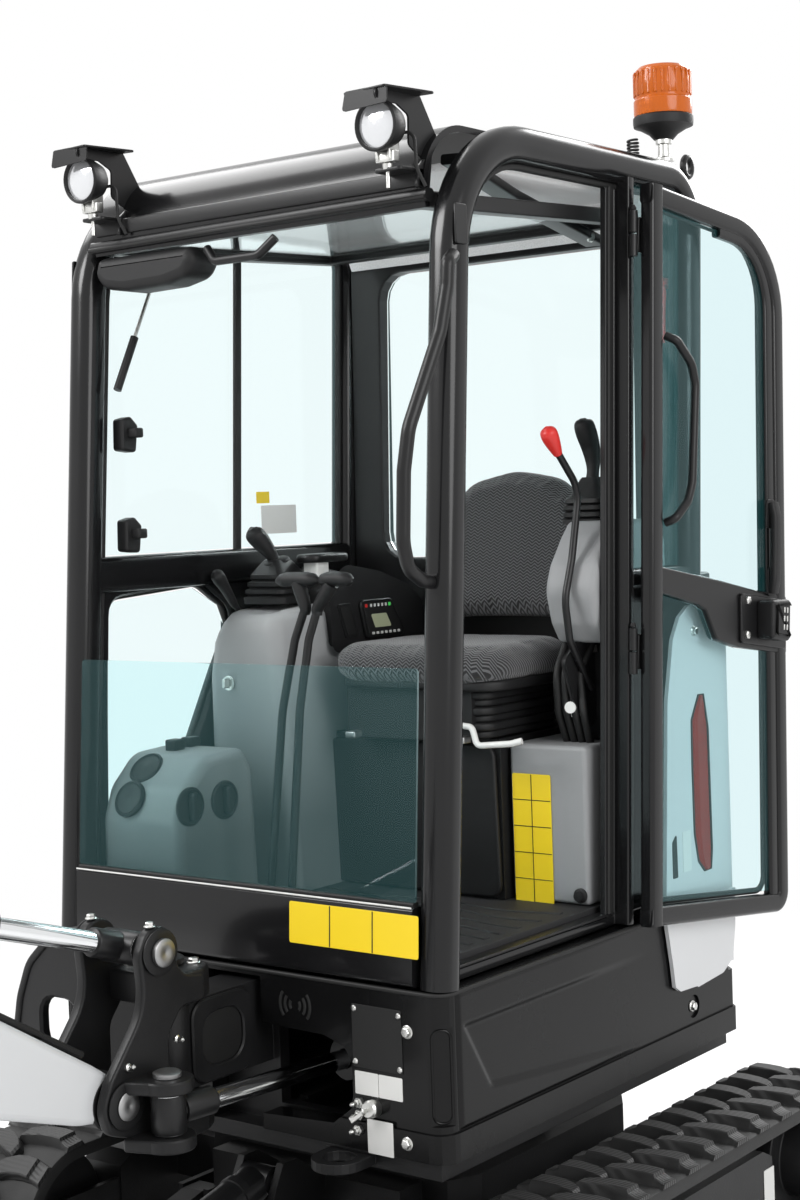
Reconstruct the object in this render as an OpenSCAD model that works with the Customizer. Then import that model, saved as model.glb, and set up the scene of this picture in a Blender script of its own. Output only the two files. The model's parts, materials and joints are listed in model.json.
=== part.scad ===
// Mini excavator, cab type, zero tail swing, on rubber tracks.
// Millimetres, Z up, ground at z = 0, the machine looks along -Y.
// Heights and lengths below are counted from the slew axis; place() moves that axis to its spot.

/* [Undercarriage] */
// overall width over the expanded tracks
gauge_w = 1360; // [980:10:1500]
// width of one rubber track
track_w = 230; // [180:5:300]
// distance between idler and sprocket centres
wheel_span = 1120; // [900:10:1400]
// height of the track over its lugs
track_h = 360; // [300:5:420]
// lugs in one row around a track
lug_count = 34; // [24:1:40]
// height of a lug
lug_h = 22; // [10:1:30]
// height of the dozer blade plate
blade_h = 262; // [200:2:300]

/* [House] */
// width of the house
house_w = 980; // [900:10:1100]
// height of the house floor above ground
house_z = 430; // [400:5:480]
// radius of the tail around the slew axis
tail_r = 680; // [640:5:760]
// front face of the house
house_front = -580; // [-620:5:-560]
// top of the rear hood
hood_top = 1430; // [1350:5:1480]

/* [Cab] */
// underside of the cab
cab_z = 760; // [740:5:800]
// top of the roof rails
roof_z = 2300; // [2200:5:2400]
// distance between the axes of the front pillars
pillar_w = 914; // [860:2:960]
// thickness of the pillar tubes
pillar_d = 66; // [50:2:80]
// angle at which the door stands open
door_open = 177; // [0:1:178]

/* [Work equipment] */
// length of the boom from foot pin to bend
boom_lower = 850; // [700:10:1000]
// length of the boom from bend to tip pin
boom_upper = 980; // [800:10:1100]
// distance between the pins of the arm
arm_len = 1000; // [850:10:1200]
// width of the bucket
bucket_w = 440; // [250:10:600]
// radius of the pivot pins
pin_r = 17; // [12:1:22]

/* [Hidden] */
$fn = 48;
// slew axis in the part's own frame, so that the box stands centred on the origin
y_shift = 1558.4;
half_w = gauge_w / 2;
track_in = half_w - track_w;
wheel_r = track_h / 2;
belt_r = wheel_r - lug_h;
belt_t = 26;
wy = wheel_span / 2;
px = pillar_w / 2;
yf = -540;
rake_f = 0.0787;
rake_r = 0.0577;
hinge = [496, yf + 620, 1307];
foot = [-949, 605];
post_top = [-854, 850];
king = -760;
boom_a = 23;
upper_a = -15;
arm_a = -21;
function w2(o, a, p) = [o[0] - p[0] * cos(a) + p[1] * sin(a), o[1] + p[0] * sin(a) + p[1] * cos(a)];
bend = w2(foot, boom_a, [boom_lower, 0]);
tip = w2(bend, upper_a, [boom_upper, 0]);
boom_cyl = w2(foot, 35, [850, 0]);
arm_cyl = w2(bend, upper_a, [0, 190]);
arm_lug = w2(tip, upper_a, [-164, 115]);
bkt = w2(tip, arm_a, [arm_len, 0]);
rock_a = w2(tip, arm_a, [arm_len - 190, 35]);
link_c = w2(tip, arm_a, [arm_len - 42, 150]);
link_d = w2(tip, arm_a, [arm_len + 157.6, 27.8]);
bkt_cyl = w2(tip, arm_a, [140, 172]);
swing_eye = [132, -893];
swing_base = [236, -100];
blade_piv = [-400, 200];
blade_base = [-523, 339];
blade_eye = [-1040, 225];

module place() { translate([0, y_shift, 0]) children(); }
// a profile drawn in (y, z), carried from x0 to x1
module along_x(x0, x1) { translate([x0, 0, 0]) rotate([90, 0, 90]) linear_extrude(x1 - x0) children(); }
// a profile drawn in (x, z), carried from y0 to y1
module along_y(y0, y1) { translate([0, y1, 0]) rotate([90, 0, 0]) linear_extrude(y1 - y0) children(); }
module along_z(z0, z1) { translate([0, 0, z0]) linear_extrude(z1 - z0) children(); }
module both_sides() { children(); mirror([1, 0, 0]) children(); }
module block(x0, x1, y0, y1, z0, z1) { translate([x0, y0, z0]) cube([x1 - x0, y1 - y0, z1 - z0]); }
// round bar across the machine through the point p = (y, z)
module bar_x(p, r, x0, x1) { translate([x0, p[0], p[1]]) rotate([0, 90, 0]) cylinder(h = x1 - x0,
    r = r); }
// round bar in the plane x = c from p to q, both (y, z)
module bar_yz(p, q, r, c = 0) {
    d = q - p;
    translate([c, p[0], p[1]]) rotate([atan2(-d[0], d[1]), 0, 0]) cylinder(h = norm(d), r = r);
}
function arc(c, r, a0, a1, n = 6) =
    [for (i = [0:n]) let (a = a0 + (a1 - a0) * i / n) [c[0] + r * cos(a), c[1] + r * sin(a)]];
function rbox(x0, x1, y0, y1, r, n = 4) = concat(
    arc([x1 - r, y1 - r], r, 0, 90, n), arc([x0 + r, y1 - r], r, 90, 180, n),
    arc([x0 + r, y0 + r], r, 180, 270, n), arc([x1 - r, y0 + r], r, 270, 360, n));
// point between p and q
function mid(p, q, t) = p + (q - p) * t;

// undercarriage

// point on the loop of a track: s along the loop, h outward from the belt face
function loop_len() = 2 * wheel_span + 2 * PI * belt_r;
function loop_at(s0, h) =
    let (L = loop_len(), s = s0 - floor(s0 / L) * L, q = PI * belt_r, r = belt_r + h)
    s < wheel_span ? [-wy + s, wheel_r + r]
    : s < wheel_span + q
        ? let (a = 90 - (s - wheel_span) / belt_r * 180 / PI) [wy + r * cos(a), wheel_r + r * sin(a)]
    : s < 2 * wheel_span + q ? [wy - (s - wheel_span - q), wheel_r - r]
    : let (a = 270 - (s - 2 * wheel_span - q) / belt_r * 180 / PI) [-wy + r * cos(a),
        wheel_r + r * sin(a)];
function lug_line(off) =
    let (p = loop_len() / lug_count)
    [for (i = [0:lug_count - 1]) for (k = [[0.10, 0], [0.20, 1], [0.46, 1], [0.56, 0]])
        loop_at((i + k[0] + off) * p, k[1] * lug_h)];
module stadium(r) {
    polygon(concat(arc([-wy, wheel_r], r, 90, 270, 18), arc([wy, wheel_r], r, -90, 90, 18)));
}
module track(s) {
    mirror([s < 0 ? 1 : 0, 0, 0]) {
        along_x(track_in, track_in + track_w / 2)
            difference() { polygon(lug_line(0)); stadium(belt_r - belt_t); }
        along_x(track_in + track_w / 2, half_w)
            difference() { polygon(lug_line(0.5)); stadium(belt_r - belt_t); }
    }
}
module track_left() { color("#1b1b1c") track(1); }
module track_right() { color("#1b1b1c") track(-1); }

beam_x = track_in + track_w / 2;
module track_frame() {
    color("#2a2b2d") {
        both_sides() {
            // side beam carrying the wheels
            difference() {
                along_x(beam_x - 55, beam_x + 55)
                    polygon([[-400, 130], [-370, 100], [330, 100], [370, 130], [370, 235], [330, 255],
                        [-360, 255],
                        [-400, 235]]);
                bar_x([-wy, wheel_r], 112, beam_x - 60, beam_x + 60);
                bar_x([wy, wheel_r], 112, beam_x - 60, beam_x + 60);
            }
            // fork of the idler and its tensioner
            block(beam_x - 52, beam_x - 38, -wy + 5, -395, 150, 210);
            block(beam_x + 38, beam_x + 52, -wy + 5, -395, 150, 210);
            // carrier of the travel motor
            block(beam_x - 55, beam_x - 40, 365, wy + 60, 120, 240);
            // two sliding tubes of the expanding gauge
            block(250, beam_x - 50, -230, -110, 170, 270);
            block(250, beam_x - 50, 110, 230, 170, 270);
        }
        // centre frame
        along_z(200, 330) polygon([[-300, -330], [300, -330], [330, -260], [330, 260], [290, 320],
            [-290, 320],
            [-330, 260], [-330, -260]]);
        block(-240, 240, -400, -325, 215, 320);
        // lugs of the blade
        both_sides() {
            block(228, 242, -430, -395, 160, 245);
            block(298, 312, -430, -320, 160, 245);
        }
        both_sides() bar_x(blade_piv, 16, 242, 298);
        // lug of the blade cylinder
        both_sides() along_x(41, 57)
            polygon([[-560, 300], [-520, 375], [-480, 375], [-395, 318], [-395, 230], [-540, 290]]);
        bar_x(blade_base, 14, -45, 45);
        translate([0, 0, 329]) cylinder(h = 25, r = 262);
        // lashing eye at the back
        difference() {
            along_z(243, 267) polygon([[-60, 310], [60, 310], [60, 385], [35, 415], [-35, 415], [-60,
                385]]);
            translate([0, 375, 230]) cylinder(h = 50, r = 20);
        }
    }
}
module slew_ring() {
    color("#55585a") difference() {
        translate([0, 0, 354]) cylinder(h = 34, r = 255);
        translate([0, 0, 350]) cylinder(h = 50, r = 190);
    }
}
module idlers() {
    color("#303133") both_sides() difference() {
        union() {
            bar_x([-wy, wheel_r], belt_r - belt_t - 2, beam_x - 22, beam_x + 22);
            bar_x([-wy, wheel_r], 26, beam_x - 37.5, beam_x + 37.5);
        }
    }
}
module sprockets() {
    color("#303133") both_sides() {
        bar_x([wy, wheel_r], belt_r - belt_t - 2, beam_x - 18, beam_x + 18);
        bar_x([wy, wheel_r], 88, beam_x + 17, beam_x + 88);
        bar_x([wy, wheel_r], 70, beam_x - 39.5, beam_x - 17);
    }
}
roller_y = [-330, 0, 330];
module track_rollers() {
    color("#303133") both_sides() {
        for (y = roller_y) {
            bar_x([y, 78], 28, beam_x - 70, beam_x - 56);
            bar_x([y, 78], 28, beam_x + 56, beam_x + 70);
            bar_x([y, 78], 20, beam_x - 57, beam_x + 57);
        }
        bar_x([0, 285], 24, beam_x - 30, beam_x + 30);
    }
}

// dozer blade

module dozer_blade() {
    color("#2a2b2d") {
        along_x(-half_w, half_w)
            polygon([[-1105, 12], [-1105, 60], [-1080, 140], [-1090, 12 + blade_h], [-1112,
                12 + blade_h], [-1102, 150],
                [-1120, 70], [-1160, 22], [-1166, 12]]);
        both_sides() difference() {
            along_x(245, 295)
                polygon([[-1085, 60], [-1081, 135], [-740, 165], [-430, 240], [-385, 240], [-362, 215],
                    [-362, 185],
                    [-385, 160], [-640, 120], [-860, 62]]);
            bar_x(blade_piv, 16.5, 240, 300);
        }
        // ears of the blade cylinder
        both_sides() along_x(36, 50)
            polygon([[-1081, 130], [-1086, 262], [-1050, 262], [-1005, 235], [-1005, 212], [-1050, 130]]);
        block(-250, 250, -1083, -1060, 60, 130);
    }
}
module blade_cylinder() {
    d = (blade_eye - blade_base) / norm(blade_eye - blade_base);
    color("#1d1e1f") difference() {
        union() {
            bar_x(blade_base, 27, -36, 36);
            bar_yz(blade_base + 20 * d, blade_base + 262 * d, 36);
            bar_yz(blade_base + 245 * d, blade_base + 275 * d, 40);
        }
        bar_x(blade_base, 14.5, -45, 45);
        bar_yz(blade_base + 40 * d, blade_base + 300 * d, 18.5);
    }
}
module blade_rod() {
    d = (blade_eye - blade_base) / norm(blade_eye - blade_base);
    color("#c8cacc") difference() {
        union() {
            bar_yz(blade_eye - 340 * d, blade_eye - 20 * d, 18);
            bar_x(blade_eye, 28, -32, 32);
        }
        bar_x(blade_eye, 15, -40, 40);
    }
}

// house

function tail_y(x) = sqrt(tail_r * tail_r - x * x);
tail_a = acos(house_w / 2 / tail_r);
function house_plan(in, y0) = let (r = tail_r - in, x = house_w / 2 - in, a = acos(x / r))
    concat([[-x, y0]], [[x, y0]], arc([0, 0], r, a, 180 - a, 20));
module house_frame() {
    color("#232425") {
        difference() {
            union() {
                translate([0, 0, 394]) cylinder(h = 40, r = 235);
                along_z(house_z, house_z + 30) polygon(house_plan(20, house_front + 10));
                // nose that carries the swing post
                along_x(-46, 46) polygon([[-500, 575], [king, 575], [king, 735], [-500, 735]]);
                translate([0, king, 575]) cylinder(h = 160, r = 48);
                block(-300, 300, -522, -495, house_z + 20, 745);
                both_sides() block(70, 90, -500, 240, house_z + 20, 500);
            }
            translate([0, king, 400]) cylinder(h = 500, r = 32.5);
            block(62, 284, -600, -480, 495, 662);
        }
        // lashing ring under the front edge
        difference() {
            along_z(436, 454)
                polygon(concat([[322, -560]], [[222, -560]], arc([272, -612], 50, 180, 360, 12)));
            along_z(430, 460) polygon(arc([272, -612], 30, 0, 345, 16));
        }
        // base pin of the swing cylinder
        translate([swing_base[0], swing_base[1], 540]) cylinder(h = 92, r = 15);
        block(swing_base[0] - 45, swing_base[0] + 45, -145, -55, house_z + 20, 541);
    }
}
// dark skirt around the house
// outline of the skirt, moved inwards by e
function skirt_plan(e) = let (r = tail_r - e, a = acos((house_w / 2 - e) / r)) concat(
    arc([450, house_front + 40], 40 - e, -90, 0, 5), arc([0, 0], r, a, 180 - a, 20),
    arc([-450, house_front + 40], 40 - e, 180, 270, 5));
module body_panels() {
    color("#1c1d1e") difference() {
        union() {
            // lower lip and the face above it
            along_z(house_z + 31, 512) difference() {
                polygon(skirt_plan(0));
                polygon(house_plan(40, house_front + 51));
            }
            along_z(512, cab_z) difference() {
                polygon(skirt_plan(5));
                polygon(house_plan(40, house_front + 51));
            }
        }
        // opening of the swing post and its cylinder
        block(-66, 66, -600, -500, 440, 747);
        along_y(-600, -500) polygon([[60, 490], [236, 500], [274, 530], [280, 556], [280, 616],
            [262, 642], [216, 657], [60, 660]]);
        both_sides() {
            // dished field on the side, deepest at its front edge
            translate([485, -150, 0]) rotate([0, 0, -1.3]) along_x(0, 30)
                polygon([[-344, 692], [-272, 554], [2, 549], [-242, 682]]);
            // flat on the front corner
            translate([450, house_front + 40, 526]) rotate([0, 0, -45]) translate([27, -60, 0])
                cube([40, 120, 174]);
            // pocket of the rear bolt
            translate([480, 300, 548]) rotate([0, 90, 0]) cylinder(h = 20, r = 24);
        }
        // horn slots
        for (x = [-2, 12, 40, 54]) along_y(-600, -560)
            polygon(rbox(x - 3, x + 3, 697 - 30 + abs(x - 26) * 0.4, 697 + 30 - abs(x - 26) * 0.4, 2.5, 2));
        // seat of the white fenders
        both_sides() intersection() {
            along_x(380, 520) polygon([[400, 800], [400, 740], [420, 632], [455, 592], [700, 592],
                [700, 800]]);
            translate([0, 0, 580]) linear_extrude(300) ring_plan(560, 700, 30, 53.2);
        }
    }
}
module engine() { color("#6b6e70") block(-220, 220, 400, 600, 470, 980); }
module ring_plan(r0, r1, a0, a1, n = 8) { polygon(concat(arc([0, 0], r1, a0, a1, n), arc([0, 0], r0,
    a1, a0, n))); }
module fender_plan() {
    x = house_w / 2 - 1;
    a = acos(x / 679);
    polygon(concat([[x - 38, 402], [x, 402]], arc([0, 0], 679, a, 59.4, 8),
        arc([0, 0], 641, 59.4, acos((x - 38) / 641), 8)));
}
module rear_fenders() {
    color("#d8dadb") both_sides() difference() {
        along_z(612, hood_top - 12) fender_plan();
        // lower corner that sits in the dark skirt
        along_x(380, 520) polygon([[390, 600], [460, 600], [430, 640], [412, cab_z + 1], [390,
            cab_z + 1]]);
        translate([0, 0, 600]) linear_extrude(cab_z + 1 - 600) ring_plan(600, 700, 53, 62);
    }
    // forward wing beside the cab's rear corner, with the seat of the tail lamp
    color("#d8dadb") both_sides() difference() {
        along_x(488.5, 497) polygon([[176, 764], [198, 664], [208, 608], [228, 596], [310, 592],
            [352, 606], [402, 660], [440, 770], [440, 1330], [402, 1345], [375, 1366], [340, 1384],
            [300, 1384], [262, 1362], [233, 1318], [204, 1190]]);
        along_x(491.5, 500) polygon(lamp_outline);
    }
}
lamp_outline = [[298, 1147], [330, 1197], [352, 1195], [368, 1125], [372, 870], [366, 828],
    [338, 828], [312, 852], [298, 910], [296, 1050]];
module tail_lights() {
    color("#b3201a") both_sides() along_x(492, 499) intersection() {
        polygon(lamp_outline);
        translate([0.6, 0]) polygon(lamp_outline);
        translate([-0.6, -0.6]) polygon(lamp_outline);
        translate([-0.6, 0.6]) polygon(lamp_outline);
    }
}
// one piece lid over the engine bay, hinged at its right end
module engine_hood() {
    color("#d8dadb") difference() {
        along_z(cab_z + 6, hood_top - 14) ring_plan(645, 679, 60.2, 119.8, 16);
        for (i = [0:5]) block(-200, 200, 600, 700, 860 + i * 40, 880 + i * 40);
    }
    // knuckles on the hinge line
    color("#3a3c3e") for (z = [830, 1340]) translate([-337, 592, z]) cylinder(h = 50, r = 6);
}
// shelf over the engine bay, behind the cab
module rear_shelf() {
    color("#d8dadb") along_z(hood_top - 8, hood_top + 14)
        polygon(concat([[-440, 432], [440, 432]], arc([0, 0], 675, 50.7, 129.3, 16)));
}

// cab

function lean_f(z) = yf + rake_f * (z - cab_z);
function lean_r(z) = yf + 860 + rake_r * (z - cab_z);
module side_outline(in) {
    t = roof_z - in;
    polygon(concat(
        [[lean_f(cab_z) - 35 + in, cab_z + in]],
        arc([lean_f(1900) - 35 + 265, roof_z - 265], 265 - in, 180, 90, 8),
        arc([lean_r(roof_z) + 35 - 110, roof_z - 110], 110 - in, 90, 0, 6),
        [[lean_r(cab_z) + 35 - in, cab_z + in]]));
}
module cab_side(s) {
    mirror([s < 0 ? 1 : 0, 0, 0]) difference() {
        along_x(px - 33, px + 30) difference() {
            side_outline(0);
            if (s > 0) {
                // doorway
                difference() {
                    side_outline(66);
                    polygon([[-10, 700], [88, 2400], [1000, 2400], [1000, 700]]);
                }
                polygon([[lean_f(cab_z + 24) + 31, cab_z + 24], [lean_f(900) + 31, 900], [0, 900], [-6,
                    cab_z + 24]]);
                // quarter window
                difference() {
                    side_outline(66);
                    polygon([[-1000, 700], [65, 700], [163, 2400], [-1000, 2400]]);
                    polygon([[-1000, 600], [1000, 600], [1000, 1440], [-1000, 1440]]);
                }
            } else {
                difference() {
                    side_outline(66);
                    polygon([[-1000, 600], [1000, 600], [1000, 1530], [-1000, 1522]]);
                }
                polygon([[-460, 900], [-428, 1433], [-161, 1451], [-85, 1410], [-61, 1355], [-110,
                    1230], [-202, 1099], [-290, 900]]);
            }
        }
        // rebate that takes the door's rear stile
        if (s > 0) along_x(452, 520) door_outline(-7);
    }
}
module cab_left_frame() { color("#1f2021") cab_side(1); }
module cab_right_frame() { color("#1f2021") cab_side(-1); }
cx = px - 34;
module cab_floor() {
    color("#2b2c2e") difference() {
        block(-cx, cx, -500, 330, cab_z, cab_z + 40);
        for (i = [0:7]) block(-230 + i * 60, -210 + i * 60, -440, -110, cab_z + 36, cab_z + 60);
    }
}
module cab_front_panel() {
    color("#1f2021") along_x(-cx, cx) polygon([[-575, cab_z + 2], [-565, 908], [-525, 908], [-505,
        cab_z + 2]]);
}
module front_glass() {
    color("#9fc9cf") {
        along_x(-cx, cx) polygon([[-560, 912], [-530, 1323], [-524, 1323], [-554, 912]]);
        // pane of the stowed upper window
        along_x(-cx + 46, cx - 46) polygon([[-414, 2149.5], [-414, 2155.5], [249, 2184], [249, 2178]]);
    }
}
module cab_roof() {
    color("#1f2021") difference() {
        along_x(-cx, cx) polygon(concat([[-250, roof_z - 70]], arc([-330, roof_z - 130], 122, 180, 90, 6),
            [[370, roof_z - 8], [395, roof_z - 30], [395, roof_z - 70]]));
        along_x(-cx + 30, cx - 30)
            polygon([[-300, roof_z - 80], [-300, roof_z - 45], [350, roof_z - 45], [350, roof_z - 80]]);
    }
}
module stowed_window() {
    color("#232425") difference() {
        along_x(-cx + 10, cx - 10) polygon([[-450, 2135], [-450, 2165], [290, 2200], [290, 2170]]);
        along_x(-cx + 45, cx - 45) polygon([[-415, 2100], [-415, 2200], [250, 2240], [250, 2100]]);
    }
}
module cab_rear_wall() {
    color("#1f2021") difference() {
        along_x(-cx, cx) polygon([[340, cab_z + 2], [385, cab_z + 2], [425, roof_z - 75], [380,
            roof_z - 75]]);
        along_y(300, 500) polygon(rbox(-340, 340, 1490, 2150, 60));
    }
}
module rear_glass() {
    color("#9fc9cf") intersection() {
        along_x(-339, 339) polygon([[379, 1480], [385, 1480], [413.5, 2160], [407.5, 2160]]);
        along_y(300, 500) polygon(rbox(-338, 338, 1492, 2148, 58));
    }
}
module side_glass() {
    color("#9fc9cf") {
        // right side, fixed pane and sliding pane, and the low window
        translate([-px - 8, 0, 0]) along_x(0, 5) difference() {
            side_outline(68);
            polygon([[-1000, 600], [1000, 600], [1000, 1534], [-1000, 1526]]);
        }
        translate([-px - 8, 0, 0]) along_x(0, 5)
            polygon([[-457, 903], [-425, 1430], [-162, 1448], [-88, 1408], [-65, 1356], [-113, 1232],
                [-205, 1101], [-292, 903]]);
        translate([px, 0, 0]) along_x(0, 5) difference() {
            side_outline(68);
            polygon([[-1000, 700], [67, 700], [165, 2400], [-1000, 2400]]);
            polygon([[-1000, 600], [1000, 600], [1000, 1442], [-1000, 1442]]);
        }
    }
}
module seat_base() {
    color("#1d1e1f") {
        block(-203, 225, 0, 330, cab_z + 42, 1130);
        block(-120, 200, -60, 240, 1129, 1245);
    }
}
module seat_box() { color("#8d9092") block(232, 415, 20, 320, cab_z + 42, 1120); }
module seat_cushion() {
    color("#232425") along_x(-172, 292)
        polygon(concat([[-125, 1250]], arc([-92, 1290], 38, 195, 90, 6), [[268, 1328], [268, 1250]]));
}
module seat_back() {
    color("#232425") translate([60, 296, 1340]) rotate([-7, 0, 0]) along_y(-66, 0)
        polygon(concat([[-228, 0], [228, 0], [230, 170]], arc([100, 190], 140, 10, 90, 5),
            arc([-100, 190], 140, 90, 170, 5), [[-230, 170]]));
}
module right_console() {
    color("#8d9092") {
        // body that carries the joystick
        along_x(-cx + 1, -208) polygon([[-155, cab_z + 42], [-168, 1120], [-182, 1290], [-182, 1360],
            [-160, 1384], [-60, 1416], [100, 1418], [280, 1380], [300, cab_z + 42]]);
        // instrument panel on its inner side
        along_x(-248, -185) polygon([[-14, 1310], [-16, 1430], [22, 1476], [140, 1457], [240, 1424],
            [286, 1388], [286, 1304]]);
        // low heater pod
        along_x(-cx + 1, -203) polygon([[-500, cab_z + 42], [-497, 1000], [-475, 1060], [-410, 1122],
            [-290, 1128],
            [-266, 1085], [-255, cab_z + 42]]);
    }
}
module left_console() {
    color("#8d9092") along_x(310, cx - 1)
        polygon([[77, 1323], [50, 1362], [31, 1431], [48, 1490], [88, 1566], [120, 1604],
            [284, 1604], [318, 1560], [318, 1316]]);
}
module lever(p, q, r) {
    d = q - p;
    l = norm(d);
    translate(p) rotate([0, acos(d[2] / l), atan2(d[1], d[0])]) cylinder(h = l, r = r);
}
module control_levers() {
    color("#161617") {
        // joysticks with their gaiters
        translate([-310, -52, 1421]) cylinder(h = 72, r1 = 58, r2 = 20);
        lever([-312, -54, 1480], [-337, -104, 1572], 18);
        translate([345, 212, 1605]) cylinder(h = 50, r1 = 46, r2 = 16);
        lever([345, 212, 1640], [340, 190, 1768], 18);
        // small blade lever
        lever([-397, -88, 1432], [-397, -140, 1485], 11);
        // travel levers
        for (k = [[-83, -48], [-22, 50]]) {
            lever([k[0], -385, cab_z + 42], [k[1], -300, 1462], 9);
            translate([k[1] - 46, -300, 1468]) rotate([0, 90, 0]) cylinder(h = 92, r = 15);
        }
        // lock lever
        lever([384, 17, 1290], [384, 17, 1690], 8);
        lever([384, 17, 1300], [384, 160, 1302], 7);
        translate([384, 17, 1684]) cylinder(h = 56, r = 14);
    }
}
module grab_handle() {
    color("#161617") along_x(462, 482)
        polygon([[-488, 2062], [-522, 2020], [-587, 1793], [-600, 1700], [-595, 1540],
            [-530, 1466], [-528, 1492], [-575, 1548], [-580, 1700], [-567, 1789], [-503, 2008],
            [-488, 2040]]);
}
module work_lights() {
    color("#202122") both_sides() {
        translate([372, -484, 2275]) rotate([90, 0, 0]) cylinder(h = 62, r1 = 34, r2 = 45);
        // folded shield over the lamp
        block(322, 422, -550, -440, 2330, 2334);
        block(322, 326, -500, -440, 2230, 2331);
        // foot on the front bar
        block(352, 392, -500, -452, 2168, 2245);
    }
}
module beacon() {
    translate([447, 345, 0]) {
        color("#202122") {
            translate([0, 0, roof_z + 1]) cylinder(h = 80, r = 14);
            translate([0, 0, 2352]) cylinder(h = 42, r1 = 18, r2 = 54);
        }
        color("#f08a1c") translate([0, 0, 2394]) cylinder(h = 108, r1 = 60, r2 = 52);
    }
}

// door, drawn closed and then swung open about its leaning hinge line

module swung_open() {
    translate(hinge) rotate([-atan(rake_r), 0, 0]) rotate([0, 0, door_open]) rotate([atan(rake_r), 0, 0])
        translate(-hinge) children();
}
function hinge_y(z) = hinge[1] + rake_r * (z - hinge[2]);
module door_outline(in, f = 0) {
    b = cab_z + 4 + in;
    t = roof_z - 65 - in;
    polygon(concat(
        [[lean_f(b) + 30 + in + f, b]],
        arc([lean_f(1900) - 35 + 265 + f, roof_z - 265], 200 - in, 180, 90, 8),
        [[hinge_y(t) - 10 - in, t], [hinge_y(b) - 10 - in, b]]));
}
// middle rail of the door, grown by g above and below
module mid_rail(g) {
    polygon([[-1000, 1446 + g], [-333, 1451 + g], [-198, 1462 + g], [29, 1476 + g], [300, 1492 + g],
        [300, 1432 - g], [19, 1423 - g], [-98, 1410 - g], [-128, 1400 - g], [-173, 1342 - g],
        [-259, 1329 - g], [-1000, 1318 - g]]);
}
module door_frame() {
    color("#1f2021") swung_open() along_x(457, 489) difference() {
        door_outline(0);
        difference() {
            door_outline(46, 28);
            mid_rail(0);
        }
    }
    // knuckles on the hinge line and their leaves
    color("#1f2021") swung_open() for (z = [1307, 2130]) {
        translate([hinge[0], hinge_y(z), z]) rotate([-atan(rake_r), 0, 0]) translate([0, 0,
            -35]) cylinder(h = 70, r = 8);
        block(488, 494, hinge_y(z) - 52, hinge_y(z) - 2, z - 32, z + 32);
    }
}
module door_glass() {
    color("#9fc9cf") swung_open() along_x(470, 475) difference() {
        door_outline(48, 28);
        mid_rail(2);
    }
}
module door_hardware() {
    color("#161617") swung_open() {
        // latch
        block(410, 456.5, -392, -313, 1345, 1438);
        // pull
        block(434, 456.5, -388, -360, 1452, 1640);
        // grab bar
        block(436, 468, 14, 34, 1572, 1590);
        block(436, 452, -42, 34, 1572, 1590);
        block(436, 452, -42, -24, 1572, 1912);
        block(436, 452, -42, 50, 1894, 1912);
        block(436, 468, 30, 50, 1894, 1912);
    }
}

// swing post

module ear_plan() { polygon([[80, -960], [132, -940], [172, -905], [162, -865], [132, -850], [80,
    -850]]); }
module swing_post() {
    color("#2a2b2d") {
        difference() {
            union() {
                both_sides() along_x(62, 84)
                    polygon([[-985, 560], [-1000, 605], [-980, 650], [-890, 760], [-900, 850], [-880,
                        888], [-850, 896],
                        [-815, 880], [-805, 800], [-740, 790], [-740, 742], [-800, 742], [-835, 700],
                            [-835, 600], [-800, 560],
                        [-740, 560], [-740, 505], [-820, 505]]);
                // hub under and over the nose
                along_z(505, 565) polygon([[-84, -835], [84, -835], [84, -740], [62, -700], [-62,
                    -700], [-84, -740]]);
                along_z(742, 800) polygon([[-84, -835], [84, -835], [84, -740], [62, -700], [-62,
                    -700], [-84, -740]]);
            }
        }
        along_y(-866, -842) difference() {
            polygon([[-80, 560], [-270, 590], [-284, 640], [-266, 730], [-238, 796], [-190, 840],
                [-140, 862], [-80, 868]]);
            polygon(rbox(-212, -118, 640, 740, 34, 5));
        }
        translate([0, king, 505]) cylinder(h = 295, r = 32);
        // foot pin of the boom
        bar_x(foot, pin_r, -80, 80);
        bar_x(foot, 30, 84, 92);
        bar_x(foot, 30, -92, -84);
        bar_x(post_top, 30, 84, 92);
        bar_x(post_top, 30, -92, -84);
        // ears of the swing cylinder
        difference() {
            union() {
                along_z(525, 548) ear_plan();
                along_z(624, 647) ear_plan();
            }
        }
    }
}
module swing_cylinder() {
    d = (swing_eye - swing_base) / norm(swing_eye - swing_base);
    a = atan2(d[1], d[0]);
    color("#1d1e1f") translate([swing_base[0], swing_base[1], 586]) rotate([0, 0, a]) difference() {
        union() {
            translate([0, 0, -30]) cylinder(h = 60, r = 32);
            rotate([0, 90, 0]) cylinder(h = 385, r = 40);
        }
        translate([0, 0, -60]) cylinder(h = 120, r = 15.5);
        translate([70, 0, 0]) rotate([0, 90, 0]) cylinder(h = 400, r = 19);
    }
}
module swing_rod() {
    d = (swing_eye - swing_base) / norm(swing_eye - swing_base);
    a = atan2(d[1], d[0]);
    color("#c8cacc") translate([swing_eye[0], swing_eye[1], 586]) rotate([0, 0, a]) difference() {
        union() {
            translate([0, 0, -34]) cylinder(h = 68, r = 30);
            translate([-500, 0, 0]) rotate([0, 90, 0]) cylinder(h = 490, r = 18);
        }
        translate([0, 0, -60]) cylinder(h = 120, r = 15);
    }
}

// boom

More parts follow.
